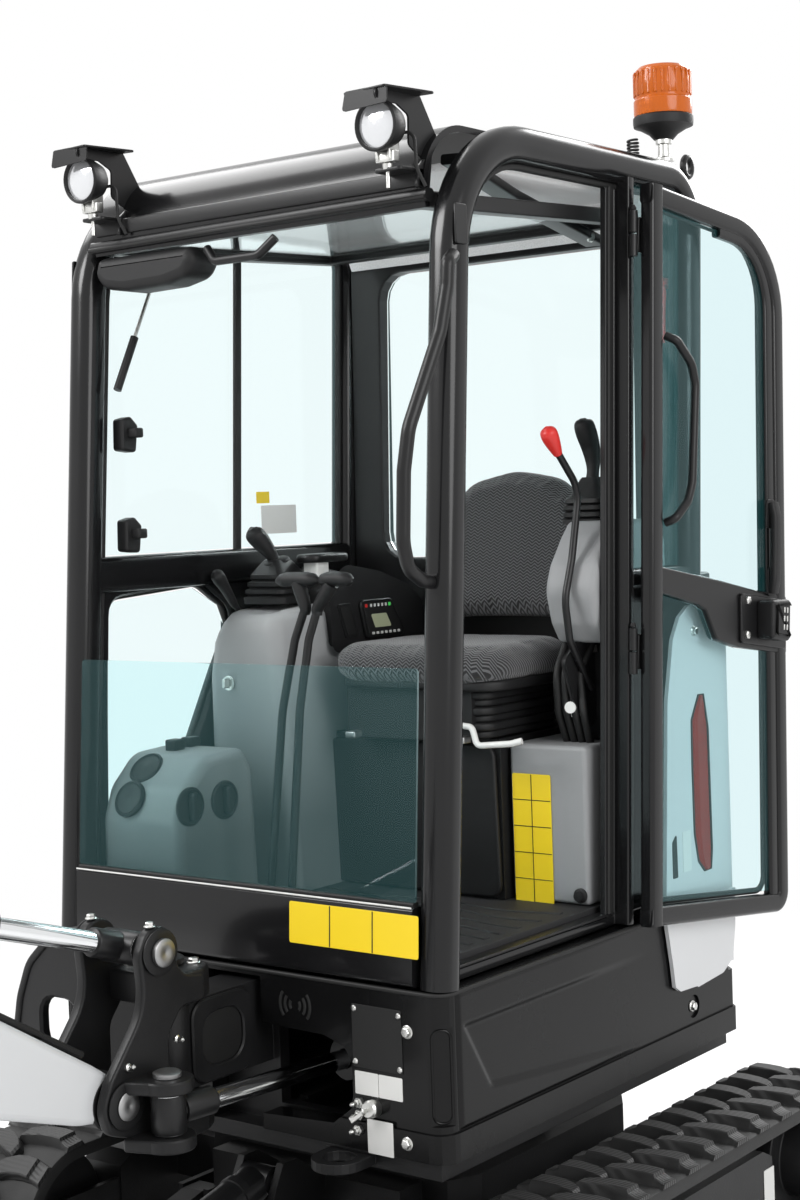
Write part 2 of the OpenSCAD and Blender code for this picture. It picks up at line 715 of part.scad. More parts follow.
function bl(u, v) = w2(foot, boom_a, [u, v]);
function bu(u, v) = w2(bend, upper_a, [u, v]);
module boom() {
    color("#d8dadb") difference() {
        union() {
            along_x(-56, 56) polygon([bl(-45, -20), bl(-45, 30), bl(0, 48), bl(300, 90), bl(760, 105),
                bl(850, 108),
                bu(120, 95),
                bu(900, 55), bu(980, 45), bu(1020, 20), bu(1020, -20), bu(980, -45), bu(880, -55),
                    bu(100, -105),
                bl(760, -105), bl(300, -70), bl(0, -48)]);
            // ears of the boom cylinder and of the arm cylinder
            both_sides() along_x(47, 60)
                polygon([bl(640, 90), bl(790, 210), bl(850, 225), bl(900, 190), bu(-10, 235), bu(20, 235),
                    bu(45, 190), bu(90, 90)]);
        }
        bar_x(foot, pin_r + 0.5, -60, 60);
        bar_x(tip, pin_r + 0.5, -60, 60);
    }
    color("#2a2b2d") {
        bar_x(boom_cyl, pin_r, -48, 48);
        bar_x(arm_cyl, pin_r, -48, 48);
    }
}
// a cylinder from its base pin p, closed length to q
module ram(p, q, len, r, ri, ex) {
    d = (q - p) / norm(q - p);
    color("#1d1e1f") difference() {
        union() {
            bar_x(p, r * 0.82, -ex, ex);
            bar_yz(p + 24 * d, p + len * d, r);
            bar_yz(p + (len - 40) * d, p + (len + 14) * d, r + 4);
        }
        bar_x(p, pin_r + 0.5, -60, 60);
        bar_yz(p + 60 * d, p + (len + 60) * d, ri + 0.5);
    }
}
module ram_rod(p, q, len, ri, ex) {
    d = (q - p) / norm(q - p);
    color("#c8cacc") difference() {
        union() {
            bar_yz(q - len * d, q - 20 * d, ri);
            bar_x(q, 29, -ex, ex);
        }
        bar_x(q, pin_r, -60, 60);
    }
}
module boom_cylinder() { ram(boom_cyl, post_top, 480, 42, 19, 42); }
module boom_rod() { ram_rod(boom_cyl, post_top, 545, 19, 46); }

// arm

function al(u, v) = w2(tip, arm_a, [u, v]);
module arm() {
    color("#d8dadb") difference() {
        union() {
            // box of the arm
            along_x(-45, 45) polygon([al(150, -58), al(86, 20), al(84, 132), al(230, 112), al(600, 54),
                al(760, 38), al(1000, 34), al(1030, 18), al(1030, -18), al(1000, -36), al(800, -52),
                    al(300, -88),
                al(200, -80)]);
            // cheeks at the boom tip, with the lugs of the arm cylinder
            both_sides() along_x(61, 81) polygon([al(-52, -30), al(-80, 20), al(-190, 60), al(-212,
                100), al(-195, 138),
                al(-150, 150), al(60, 150), al(150, 90), al(150, -62), al(30, -50)]);
            along_x(-81, 81) polygon([al(84, 135), al(150, 90), al(150, -60), al(122, -32), al(88, 20)]);
            // ears of the bucket cylinder
            both_sides() along_x(41, 56) polygon([al(70, 90), al(108, 190), al(140, 208), al(172, 195),
                al(240, 90)]);
        }
        bar_x(tip, 75, -58, 58);
        bar_x(tip, pin_r + 0.5, -90, 90);
        bar_x(bkt, pin_r + 0.5, -60, 60);
        // room for the arm cylinder's eye
        along_x(-58, 58) polygon([al(-300, -20), al(-300, 300), al(60, 300), al(60, 70), al(0, 30)]);
    }
    color("#2a2b2d") {
        bar_x(tip, pin_r, -91, 91);
        bar_x(bkt_cyl, pin_r, -42, 42);
        bar_x(rock_a, pin_r, -84, 84);
    }
}
module arm_cylinder() { ram(arm_cyl, arm_lug, 560, 41, 18, 42); }
module arm_rod() { ram_rod(arm_cyl, arm_lug, 720, 18, 46); }
module bucket_cylinder() { ram(bkt_cyl, link_c, 450, 36, 17, 36); }
module bucket_rod() { ram_rod(bkt_cyl, link_c, 430, 17, 19); }

// bucket and its links

module bucket_rocker() {
    color("#2a2b2d") both_sides() difference() {
        union() {
            bar_x(rock_a, 36, 66, 80);
            bar_x(link_c, 34, 66, 80);
            along_x(66, 80) {
                n = [-(link_c - rock_a)[1], (link_c - rock_a)[0]] / norm(link_c - rock_a);
                polygon([rock_a + 30 * n, link_c + 28 * n, link_c - 28 * n, rock_a - 30 * n]);
            }
        }
        bar_x(rock_a, pin_r + 0.5, 60, 90);
    }
}
module bucket_link() {
    n = [-(link_d - link_c)[1], (link_d - link_c)[0]] / norm(link_d - link_c);
    color("#2a2b2d") difference() {
        union() {
            both_sides() {
                bar_x(link_d, 29, 23, 43);
                bar_x(link_c, 29, 23, 43);
                along_x(23, 43) polygon([link_c + 22 * n, link_d + 22 * n, link_d - 22 * n,
                    link_c - 22 * n]);
            }
            bar_x(mid(link_c, link_d, 0.55), 19, -24, 24);
        }
        bar_x(link_d, pin_r + 0.5, -60, 60);
    }
}
by = bkt[0];
bz = bkt[1];
module bucket() {
    color("#2a2b2d") {
        difference() {
            along_x(-bucket_w / 2, bucket_w / 2) polygon([[by + 400, 12], [by - 60, 10], [by - 150, 30],
                [by - 215, 85], [by - 245, 160], [by - 238, 222], [by - 205, 255], [by + 40, 255],
                    [by + 75, 238], [by + 180, 150], [by + 330, 75], [by + 400, 34]]);
            along_x(-bucket_w / 2 + 14, bucket_w / 2 - 14) polygon([[by + 500, 26], [by - 55, 23],
                [by - 143, 42], [by - 204, 92], [by - 232, 162], [by - 225, 215], [by - 200, 242],
                    [by + 40, 242], [by + 90, 252], [by + 500, 252]]);
        }
        for (i = [-1.5:1:1.5]) along_x(i * 118 - 26, i * 118 + 26)
            polygon([[by + 385, 12], [by + 385, 40], [by + 475, 20], [by + 475, 12]]);
        // ears
        both_sides() difference() {
            along_x(46, 62) polygon([[by + 45, 250], [by + 46, bz], [by + 20, bz + 44], [by - 20,
                bz + 44], [by - 190, bz + 22],
                [by - 225, bz - 10], [by - 232, 240], [by - 200, 250]]);
            bar_x(bkt, pin_r + 0.01, 40, 70);
        }
        bar_x(bkt, pin_r, -66, 66);
        bar_x(link_d, pin_r, -66, 66);
    }
}

place() track_frame();
place() track_left();
place() track_right();
place() idlers();
place() sprockets();
place() track_rollers();
place() slew_ring();
place() dozer_blade();
place() blade_cylinder();
place() blade_rod();
place() house_frame();
place() body_panels();
place() engine();
place() rear_fenders();
place() tail_lights();
place() rear_shelf();
place() cab_floor();
place() cab_left_frame();
place() cab_right_frame();
place() cab_front_panel();
place() cab_roof();
place() cab_rear_wall();
place() front_glass();
place() side_glass();
place() rear_glass();
place() stowed_window();
place() seat_base();
place() seat_box();
place() seat_cushion();
place() seat_back();
place() right_console();
place() left_console();
place() control_levers();
place() grab_handle();
place() work_lights();
place() beacon();
place() engine_hood();
place() door_frame();
place() door_glass();
place() door_hardware();
place() swing_post();
place() swing_cylinder();
place() swing_rod();
place() boom();
place() boom_cylinder();
place() boom_rod();
place() arm();
place() arm_cylinder();
place() arm_rod();
place() bucket();
place() bucket_cylinder();
place() bucket_rod();
place() bucket_rocker();
place() bucket_link();
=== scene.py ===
"""Looks of the mini excavator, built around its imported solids.

Lengths are millimetres counted from the slew axis, with x to the machine's left, -y ahead and z up.
put() turns them into metres in the row frame.
"""
import json
import math

import bpy
import numpy as np
from mathutils import Matrix, Vector


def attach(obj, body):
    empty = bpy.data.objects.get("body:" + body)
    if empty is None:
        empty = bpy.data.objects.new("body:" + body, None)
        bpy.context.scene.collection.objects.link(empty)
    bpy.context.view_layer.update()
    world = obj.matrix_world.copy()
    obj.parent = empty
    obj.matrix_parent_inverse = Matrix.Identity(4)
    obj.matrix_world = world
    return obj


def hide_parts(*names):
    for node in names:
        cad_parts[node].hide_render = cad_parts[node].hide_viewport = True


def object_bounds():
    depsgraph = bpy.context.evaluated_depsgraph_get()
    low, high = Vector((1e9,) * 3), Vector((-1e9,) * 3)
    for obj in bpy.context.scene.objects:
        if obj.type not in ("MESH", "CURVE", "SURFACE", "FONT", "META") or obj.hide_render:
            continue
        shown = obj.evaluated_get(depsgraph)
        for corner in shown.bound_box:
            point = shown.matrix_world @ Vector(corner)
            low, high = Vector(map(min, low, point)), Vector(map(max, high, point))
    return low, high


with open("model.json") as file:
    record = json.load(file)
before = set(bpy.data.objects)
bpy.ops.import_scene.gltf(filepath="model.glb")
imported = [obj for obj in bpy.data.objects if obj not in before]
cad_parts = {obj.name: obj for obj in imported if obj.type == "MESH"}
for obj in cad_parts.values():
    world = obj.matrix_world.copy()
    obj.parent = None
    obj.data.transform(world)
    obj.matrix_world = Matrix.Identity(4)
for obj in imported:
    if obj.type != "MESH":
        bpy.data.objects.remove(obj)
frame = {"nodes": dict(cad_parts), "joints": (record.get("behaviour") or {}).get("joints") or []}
CAD_BOX = [list(c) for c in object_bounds()]
SLEW = next(j for j in frame["joints"] if j["name"] == "slew")["pos_m"]
SHIFT = np.array([SLEW[0], SLEW[1], 0.0])
scene = bpy.context.scene
X, Y, Z, AHEAD = (1, 0, 0), (0, 1, 0), (0, 0, 1), (0, -1, 0)


# camera

def look(place, azimuth, pitch, roll, lens):
    """Camera at place (mm): azimuth left of +Y, pitch below the horizon, roll clockwise, all in degrees."""
    a, p, r = (math.radians(v) for v in (azimuth, pitch, roll))
    level = Vector((-math.sin(a), math.cos(a), 0))
    side = Vector((math.cos(a), math.sin(a), 0))
    ahead = level * math.cos(p) - Vector((0, 0, math.sin(p)))
    over = level * math.sin(p) + Vector((0, 0, math.cos(p)))
    up = side * math.sin(r) + over * math.cos(r)
    right = side * math.cos(r) - over * math.sin(r)
    data = bpy.data.cameras.new("camera")
    data.lens, data.sensor_width, data.sensor_fit = lens, 36.0, "AUTO"
    data.clip_end = 100
    camera = bpy.data.objects.new("camera", data)
    scene.collection.objects.link(camera)
    spot = Vector(place) / 1000 + Vector(SHIFT)
    rows = [(right[i], up[i], -ahead[i], spot[i]) for i in range(3)] + [(0, 0, 0, 1)]
    camera.matrix_world = Matrix(rows)
    scene.camera = camera


look((2507, -3271, 1604), 37.67, 2.65, 2.02, 59.16)

# surfaces


def put(name, verts, faces, mat, body="house", sharp=32, slot=None):
    """A mesh from points in mm and index lists, riding on a body.

    It is smooth except at its end faces and where faces meet at more than sharp degrees.
    """
    mesh = bpy.data.meshes.new(name)
    mesh.from_pydata((np.asarray(verts, float) / 1000 + SHIFT).tolist(), [],
                     [list(map(int, f)) for f in faces])
    mesh.validate()
    mesh.shade_smooth()
    mesh.set_sharp_from_angle(angle=math.radians(sharp))
    sides = np.empty(len(mesh.polygons), int)
    mesh.polygons.foreach_get("loop_total", sides)
    mesh.polygons.foreach_set("use_smooth", sides < 7)
    mesh.materials.append(mat)
    obj = bpy.data.objects.new(name, mesh)
    scene.collection.objects.link(obj)
    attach(obj, body)
    return obj


def grid(rows, cols, wrap_rows=False, wrap_cols=True):
    """Quads between neighbouring points of a rows x cols grid."""
    i = np.arange(rows if wrap_rows else rows - 1)[:, None]
    j = np.arange(cols if wrap_cols else cols - 1)[None, :]
    a = i * cols + j
    b = i * cols + (j + 1) % cols
    c = ((i + 1) % rows) * cols + (j + 1) % cols
    d = ((i + 1) % rows) * cols + j
    return np.stack([a, b, c, d], -1).reshape(-1, 4).tolist()


def tube_faces(rows, cols):
    """Quads of a tube of rows rings with cols points each, and a cap at both ends."""
    return grid(rows, cols) + [list(range(cols))[::-1], list(range((rows - 1) * cols, rows * cols))]


def unit(v):
    """Vectors divided by their lengths."""
    v = np.asarray(v, float)
    return v / np.linalg.norm(v, axis=-1, keepdims=True)


def smooth_path(points, radii, n=8):
    """Polyline whose inner corners become circular arcs of the given radii."""
    p = np.asarray(points, float)
    out = [p[:1]]
    for i, r in zip(range(1, len(p) - 1), radii):
        a, b = unit(p[i - 1] - p[i]), unit(p[i + 1] - p[i])
        half = math.acos(np.clip(a @ b, -1, 1)) / 2
        if r <= 0 or half > 1.55:
            out.append(p[i:i + 1])
            continue
        t = r / math.tan(half)
        centre = p[i] + unit(a + b) * r / math.sin(half)
        s, e = p[i] + a * t - centre, p[i] + b * t - centre
        turn = math.pi - 2 * half
        k = np.linspace(0, 1, n + 1)[:, None]
        out.append(centre + (np.sin((1 - k) * turn) * s + np.sin(k * turn) * e) / math.sin(turn))
    out.append(p[-1:])
    return np.concatenate(out)


def circle(r, n=20, squash=1.0):
    """Round outline of n points."""
    a = np.arange(n) * 2 * math.pi / n
    return np.stack([r * np.cos(a), r * squash * np.sin(a)], -1)


def corner_box(w, h, r, n=5):
    """Outline of a w x h rectangle with corners of radius r, counter-clockwise."""
    a = np.linspace(0, math.pi / 2, n)
    q = np.stack([np.cos(a), np.sin(a)], -1) * r
    x, y = w / 2 - r, h / 2 - r
    corners = []
    for k, centre in enumerate(((x, y), (-x, y), (-x, -y), (x, -y))):
        c, s = math.cos(k * math.pi / 2), math.sin(k * math.pi / 2)
        corners.append(np.stack([q[:, 0] * c - q[:, 1] * s, q[:, 0] * s + q[:, 1] * c], -1) + centre)
    return np.concatenate(corners)


def soft_outline(points, radii, n=5):
    """Closed outline whose corners become arcs; radii is one number or one per corner."""
    p = np.asarray(points, float)
    k = len(p)
    radii = [radii] * k if np.isscalar(radii) else radii
    parts = []
    for i in range(k):
        tri = np.stack([p[i - 1], p[i], p[(i + 1) % k]])
        mid = np.stack([(tri[0] + tri[1]) / 2, tri[1], (tri[1] + tri[2]) / 2])
        reach = min(np.linalg.norm(mid[0] - mid[1]), np.linalg.norm(mid[2] - mid[1]))
        a, b = unit(mid[0] - mid[1]), unit(mid[2] - mid[1])
        half = math.acos(np.clip(a @ b, -1, 1)) / 2
        r = min(radii[i], reach * math.tan(half) * 0.98)
        parts.append(smooth_path(mid, [r], n)[1:-1])
    return np.concatenate(parts)


def frames(path, ref):
    """Unit tangent, normal and binormal at each point of a path; the normal leans towards ref."""
    t = unit(np.gradient(path, axis=0))
    ref = np.broadcast_to(np.asarray(ref, float), t.shape)
    n = unit(ref - (ref * t).sum(-1, keepdims=True) * t)
    return t, n, np.cross(t, n)


def sweep_data(path, outline, ref, closed=False):
    """The outline carried along the path: point = path + a * normal + b * binormal.

    An open path gets two end caps.
    """
    path, outline = np.asarray(path, float), np.asarray(outline, float)
    t, n, b = frames(path, ref)
    v = path[:, None] + outline[None, :, :1] * n[:, None] + outline[None, :, 1:] * b[:, None]
    rows, cols = len(path), len(outline)
    return v.reshape(-1, 3), grid(rows, cols, wrap_rows=True) if closed else tube_faces(rows, cols)


def sweep(name, path, outline, ref, mat, body="house", closed=False, **kw):
    """sweep_data as a piece."""
    return put(name, *sweep_data(path, outline, ref, closed), mat, body, **kw)


def lathe_data(profile, centre, axis, n=36):
    """A profile of (radius, height) turned about an axis through centre."""
    profile = np.asarray(profile, float)
    axis = unit(axis)
    x = unit(np.cross(axis, Z if abs(axis[2]) < 0.9 else Y))
    y = np.cross(axis, x)
    a = np.arange(n) * 2 * math.pi / n
    ring = np.cos(a)[:, None] * x + np.sin(a)[:, None] * y
    v = np.asarray(centre, float) + profile[:, None, :1] * ring[None] + profile[:, None, 1:] * axis
    return v.reshape(-1, 3), tube_faces(len(profile), n)


def lathe(name, profile, centre, axis, mat, body="house", n=36, **kw):
    """lathe_data as a piece."""
    return put(name, *lathe_data(profile, centre, axis, n), mat, body, **kw)


def inset(outline, d):
    """Outline moved inwards by d along the mitre of each corner."""
    p = np.asarray(outline, float)
    e = unit(np.roll(p, -1, 0) - p)
    n1 = np.stack([-e[:, 1], e[:, 0]], -1)
    n0 = np.roll(n1, 1, 0)
    m = unit(n0 + n1 + 1e-9)
    k = np.clip((m * n1).sum(-1, keepdims=True), 0.5, 1)
    return p + m * d / k


def raised(outline, h, origin, a_axis, b_axis):
    """Outline points in the plane of a and b through origin, lifted by h along a x b."""
    a, b = unit(a_axis), unit(b_axis)
    return np.asarray(origin, float) + outline[:, :1] * a + outline[:, 1:] * b + h * np.cross(a, b)


def loft_data(rings):
    """Closed skin over a stack of rings with equal point counts."""
    rings = np.asarray(rings, float)
    return rings.reshape(-1, 3), tube_faces(*rings.shape[:2])


def slab_data(outline, depth, edge, origin, a_axis, b_axis, steps=3):
    """An outline in the plane of a and b carried along a x b by depth, its two rims rounded by edge."""
    k = np.linspace(0, math.pi / 2, steps + 1)
    low = [(edge * (1 - math.sin(t)), edge * (1 - math.cos(t))) for t in k]
    high = [(i, depth - h) for i, h in low[::-1]]
    return loft_data([raised(inset(outline, i), h, origin, a_axis, b_axis) for i, h in low + high])


def slab(name, outline, depth, edge, origin, a_axis, b_axis, mat, body="house", steps=3, **kw):
    """slab_data as a piece."""
    return put(name, *slab_data(outline, depth, edge, origin, a_axis, b_axis, steps), mat, body, **kw)


def joined(name, parts, mat, body="house", **kw):
    """Several (points, faces) sets as one piece."""
    verts, faces, k = [], [], 0
    for v, f in parts:
        verts.append(np.asarray(v, float))
        faces += [[i + k for i in q] for q in f]
        k += len(v)
    return put(name, np.concatenate(verts), faces, mat, body, **kw)


def mirror_data(v, f):
    """The same points on the machine's other side, faces turned so that they still look outwards."""
    return np.asarray(v, float) * (-1, 1, 1), [list(q)[::-1] for q in f]


def paired(data):
    """The same shape on both sides of the machine."""
    return [data, mirror_data(*data)]


def block_data(x0, x1, y0, y1, z0, z1, edge=3, r=6):
    """A box with rounded vertical corners and rims."""
    r = min(r, (x1 - x0) / 2.1, (y1 - y0) / 2.1)
    o = corner_box(x1 - x0, y1 - y0, r) + ((x0 + x1) / 2, (y0 + y1) / 2)
    return slab_data(o, z1 - z0, edge, (0, 0, z0), X, Y)


# finishes


def fill(node, values):
    """Constants on a node's sockets."""
    for socket, value in values.items():
        node.inputs[socket].default_value = value


def shader(name):
    """A new material, its node tree and the Principled node in it."""
    m = bpy.data.materials.new(name)
    m.use_nodes = True
    return m, m.node_tree, m.node_tree.nodes["Principled BSDF"]


def add(t, kind, values, sources):
    """A node in tree t with constants on some sockets and links into others."""
    n = t.nodes.new(kind)
    fill(n, values)
    for socket, source in sources.items():
        t.links.new(source, n.inputs[socket])
    return n


def blend(t, factor, low, high):
    """Colour that goes from low to high with the factor."""
    n = t.nodes.new("ShaderNodeMix")
    n.data_type = "RGBA"
    n.inputs["A"].default_value, n.inputs["B"].default_value = (*low, 1), (*high, 1)
    t.links.new(factor, n.inputs["Factor"])
    return n.outputs["Result"]


def bump(t, height, strength, distance):
    """Bump node on a height; distance in metres."""
    return add(t, "ShaderNodeBump", {"Strength": strength, "Distance": distance}, {"Height": height})


def finish(name, colour, rough, metal=0.0, coat=0.0, grain=0.0, grain_size=400.0, mottle=0.0, mottle_size=6.0,
           rough_var=0.0, transmission=0.0, ior=1.45, emission=None, strength=0.0, spec=0.5, ribs=0.0,
           shade=None):
    """Principled finish: mottled colour, uneven gloss and a fine bump from noise on object coordinates.

    ribs adds a banded bump along y. shade (z0, z1, low) paints shade: it darkens the colour to low times
    itself from height z1 down to z0, standing in for the dimmer light low in the cab.
    """
    m, t, b = shader(name)
    fill(b, {"Base Color": (*colour, 1), "Roughness": rough, "Metallic": metal, "Coat Weight": coat,
             "Coat Roughness": 0.08, "Transmission Weight": transmission, "IOR": ior,
             "Specular IOR Level": spec})
    if emission:
        fill(b, {"Emission Color": (*emission, 1), "Emission Strength": strength})
    place = t.nodes.new("ShaderNodeTexCoord").outputs["Object"]
    if mottle or rough_var:
        cloud = add(t, "ShaderNodeTexNoise", {"Scale": mottle_size, "Detail": 5}, {"Vector": place}).outputs[
            "Fac"]
        if mottle:
            pale = [min(1, c * (1 + mottle)) for c in colour]
            t.links.new(blend(t, cloud, [c * (1 - mottle) for c in colour], pale), b.inputs["Base Color"])
        if rough_var:
            gloss = {"To Min": max(0, rough - rough_var), "To Max": min(1, rough + rough_var)}
            t.links.new(add(t, "ShaderNodeMapRange", gloss, {"Value": cloud}).outputs["Result"],
                        b.inputs["Roughness"])
    if shade:
        height = add(t, "ShaderNodeSeparateXYZ", {}, {"Vector": place}).outputs["Z"]
        ramp = add(t, "ShaderNodeMapRange", {"From Min": shade[0], "From Max": shade[1]}, {"Value": height})
        dark = [c * shade[2] for c in colour]
        t.links.new(blend(t, ramp.outputs["Result"], dark, colour), b.inputs["Base Color"])
    if grain:
        speck = add(t, "ShaderNodeTexNoise", {"Scale": grain_size, "Detail": 3}, {"Vector": place})
        fine = bump(t, speck.outputs["Fac"], grain, 0.001)
        t.links.new(fine.outputs["Normal"], b.inputs["Normal"])
        if ribs:
            wave = add(t, "ShaderNodeTexWave", {"Scale": 42}, {"Vector": place})
            wave.bands_direction = "Y"
            t.links.new(bump(t, wave.outputs["Fac"], ribs, 0.002).outputs["Normal"], fine.inputs["Normal"])
    return m


def weave(name, dark, light, scale):
    """Herringbone cloth: diagonal threads whose slant flips from rib to rib, with a bump from them."""
    m, t, b = shader(name)
    fill(b, {"Roughness": 0.9, "Sheen Weight": 0.25})
    place = t.nodes.new("ShaderNodeTexCoord").outputs["Object"]
    across, back, up = add(t, "ShaderNodeSeparateXYZ", {}, {"Vector": place}).outputs

    def op(kind, *terms):
        """Math node on one or two numbers or sockets."""
        n = t.nodes.new("ShaderNodeMath")
        n.operation = kind
        for k, v in enumerate(terms):
            if isinstance(v, float):
                n.inputs[k].default_value = v
            else:
                t.links.new(v, n.inputs[k])
        return n.outputs[0]

    along = op("ADD", back, up)
    rib = op("PINGPONG", op("MULTIPLY", across, scale), 1.0)
    line = op("FRACT", op("ADD", op("MULTIPLY", along, scale * 1.15), rib))
    thread = op("PINGPONG", op("MULTIPLY", line, 2.0), 1.0)
    mask = op("GREATER_THAN", thread, 0.55)
    t.links.new(blend(t, mask, dark, light), b.inputs["Base Color"])
    t.links.new(bump(t, thread, 0.5, 0.002).outputs["Normal"], b.inputs["Normal"])
    return m


GLOSS = finish("black_gloss", (0.007, 0.007, 0.0075), 0.2, coat=0.1, grain=0.03, grain_size=260,
               rough_var=0.05, mottle=0.2, spec=0.34)
SATIN = finish("black_satin", (0.009, 0.009, 0.0095), 0.36, grain=0.06, grain_size=500, rough_var=0.07,
               mottle=0.25, spec=0.36)
CAST = finish("cast_black", (0.011, 0.011, 0.0115), 0.4, grain=0.25, grain_size=260, rough_var=0.1,
              mottle=0.35, mottle_size=14, spec=0.3)
WHITE = finish("white_paint", (0.63, 0.64, 0.65), 0.3, coat=0.2, grain=0.03, grain_size=220, rough_var=0.05,
               mottle=0.02)
RUBBER = finish("track_rubber", (0.016, 0.016, 0.016), 0.62, grain=0.4, grain_size=420, rough_var=0.12,
                mottle=0.4, mottle_size=22)
# lugs: the belt's rubber painted lighter, a painted highlight on the lugs; the ribs are a real bump
LUG_PAINTED_HIGHLIGHT = finish("lug_rubber_painted_highlight", (0.03, 0.03, 0.03), 0.5, ribs=0.5, grain=0.3, grain_size=420, rough_var=0.12,
             mottle=0.4, mottle_size=22)
CHROME = finish("rod_chrome", (0.78, 0.79, 0.8), 0.12, metal=1.0, rough_var=0.04, grain=0.02, grain_size=900)
ZINC = finish("zinc", (0.62, 0.62, 0.6), 0.32, metal=1.0, rough_var=0.1, mottle=0.15, mottle_size=60)
STEEL = finish("bare_steel", (0.35, 0.35, 0.35), 0.4, metal=1.0, rough_var=0.1, mottle=0.2, mottle_size=40)
SKIRT = finish("skirt_black", (0.004, 0.004, 0.0042), 0.26, coat=0.05, grain=0.06, grain_size=420,
               rough_var=0.06, mottle=0.2, spec=0.2)
# painted shade: this grey darkens from 1.32 m down to 0.95 m, where less light reaches inside the cab
GREY_PAINTED_SHADE = finish("grey_console_painted_shade", (0.36, 0.365, 0.37), 0.5, grain=0.3, grain_size=700, shade=(0.95, 1.32, 0.3))
GREY = finish("grey_moulding", (0.27, 0.275, 0.28), 0.55, grain=0.3, grain_size=700, rough_var=0.05,
              mottle=0.05)
BLACKP = finish("black_moulding", (0.010, 0.010, 0.0105), 0.5, grain=0.3, grain_size=800, rough_var=0.06,
                mottle=0.2, spec=0.36)
MAT = finish("floor_rubber", (0.02, 0.02, 0.021), 0.7, grain=0.3, grain_size=500, rough_var=0.1, mottle=0.3)
GASKET = finish("gasket", (0.006, 0.006, 0.006), 0.6, grain=0.1, grain_size=500, rough_var=0.06)
# glass: a real teal tint, plus a faint teal emission that is a painted glow, the glass being no lamp
GLASS = finish("tinted_glass_painted_glow", (0.745, 0.885, 0.905), 0.0, transmission=1.0, ior=1.15,
               emission=(0.012, 0.05, 0.052), strength=0.3)
CLEAR = finish("clear_glass_painted_glow", (0.865, 0.95, 0.955), 0.0, transmission=1.0, ior=1.18,
               emission=(0.012, 0.05, 0.052), strength=0.3)
DARKGLASS = finish("front_tint_painted_glow", (0.8, 0.945, 0.955), 0.0, transmission=1.0, ior=1.16,
                   emission=(0.012, 0.05, 0.052), strength=0.3)
PANE = finish("stowed_pane", (0.95, 0.985, 0.985), 0.04, transmission=1.0, ior=1.1)
LAMP = finish("lamp_lens", (0.75, 0.76, 0.78), 0.12, metal=0.6, coat=0.8, grain=0.25, grain_size=160)
AMBER = finish("amber_lens", (0.58, 0.12, 0.006), 0.16, transmission=0.15, spec=0.4)
RED = finish("red_lens", (0.26, 0.012, 0.006), 0.3, mottle=0.1, mottle_size=30, spec=0.12)
REDKNOB = finish("red_knob", (0.62, 0.03, 0.025), 0.35, grain=0.05)
YELLOW = finish("yellow_plate", (0.86, 0.62, 0.02), 0.35, mottle=0.03, rough_var=0.05)
PLATE = finish("white_plate", (0.72, 0.72, 0.7), 0.4, mottle=0.03, rough_var=0.05)
# headliner: a faint white emission, a painted glow standing in for light bounced onto the cab ceiling
HEADLINER_PAINTED_GLOW = finish("headliner", (0.72, 0.72, 0.725), 0.9, grain=0.5, grain_size=900, mottle=0.5,
                   mottle_size=500, emission=(1.0, 1.0, 1.0), strength=0.15)
CLOTH = weave("seat_cloth", (0.012, 0.012, 0.013), (0.12, 0.12, 0.125), 110.0)
GREEN = finish("green_lamp", (0.05, 0.5, 0.08), 0.3, emission=(0.1, 0.9, 0.15), strength=0.2)
SCREEN = finish("display_glass", (0.28, 0.3, 0.2), 0.2, emission=(0.5, 0.55, 0.35), strength=0.15)

# CAD nodes that stay: finish, welded edges and a small rounding

DRESS = {"track_frame": (CAST, 5), "slew_ring": (STEEL, 2), "idlers": (CAST, 4), "sprockets": (CAST, 4),
         "track_rollers": (CAST, 3), "track_left": (RUBBER, 3), "track_right": (RUBBER, 3),
         "dozer_blade": (CAST, 3), "blade_cylinder": (SATIN, 2), "blade_rod": (CHROME, 1),
         "house_frame": (CAST, 4), "body_panels": (SKIRT, 8), "engine": (CAST, 10),
         "rear_fenders": (WHITE, 2.5), "tail_lights": (RED, 2), "rear_shelf": (SATIN, 6),
         "cab_floor": (MAT, 1.5), "cab_left_frame": (GLOSS, 8), "cab_right_frame": (GLOSS, 8),
         "cab_front_panel": (GLOSS, 6), "cab_roof": (GLOSS, 6), "cab_rear_wall": (SATIN, 5),
         "front_glass": (DARKGLASS, 0.8), "side_glass": (CLEAR, 0.8), "rear_glass": (CLEAR, 0.8),
         "stowed_window": (SATIN, 4), "seat_base": (BLACKP, 6), "seat_box": (GREY, 10),
         "seat_cushion": (CLOTH, 12), "seat_back": (CLOTH, 12), "right_console": (GREY, 12),
         "left_console": (GREY, 12), "control_levers": (BLACKP, 2), "grab_handle": (SATIN, 0),
         "work_lights": (BLACKP, 2), "beacon": (BLACKP, 1), "engine_hood": (WHITE, 5),
         "door_frame": (GLOSS, 5), "door_glass": (GLASS, 0.8), "door_hardware": (BLACKP, 3),
         "swing_post": (CAST, 9), "swing_cylinder": (SATIN, 2), "swing_rod": (CHROME, 1), "boom": (WHITE, 4),
         "boom_cylinder": (SATIN, 2), "boom_rod": (CHROME, 1), "arm": (WHITE, 4), "arm_cylinder": (SATIN, 2),
         "arm_rod": (CHROME, 1), "bucket": (CAST, 3), "bucket_cylinder": (SATIN, 2),
         "bucket_rod": (CHROME, 1), "bucket_rocker": (CAST, 3), "bucket_link": (CAST, 3)}


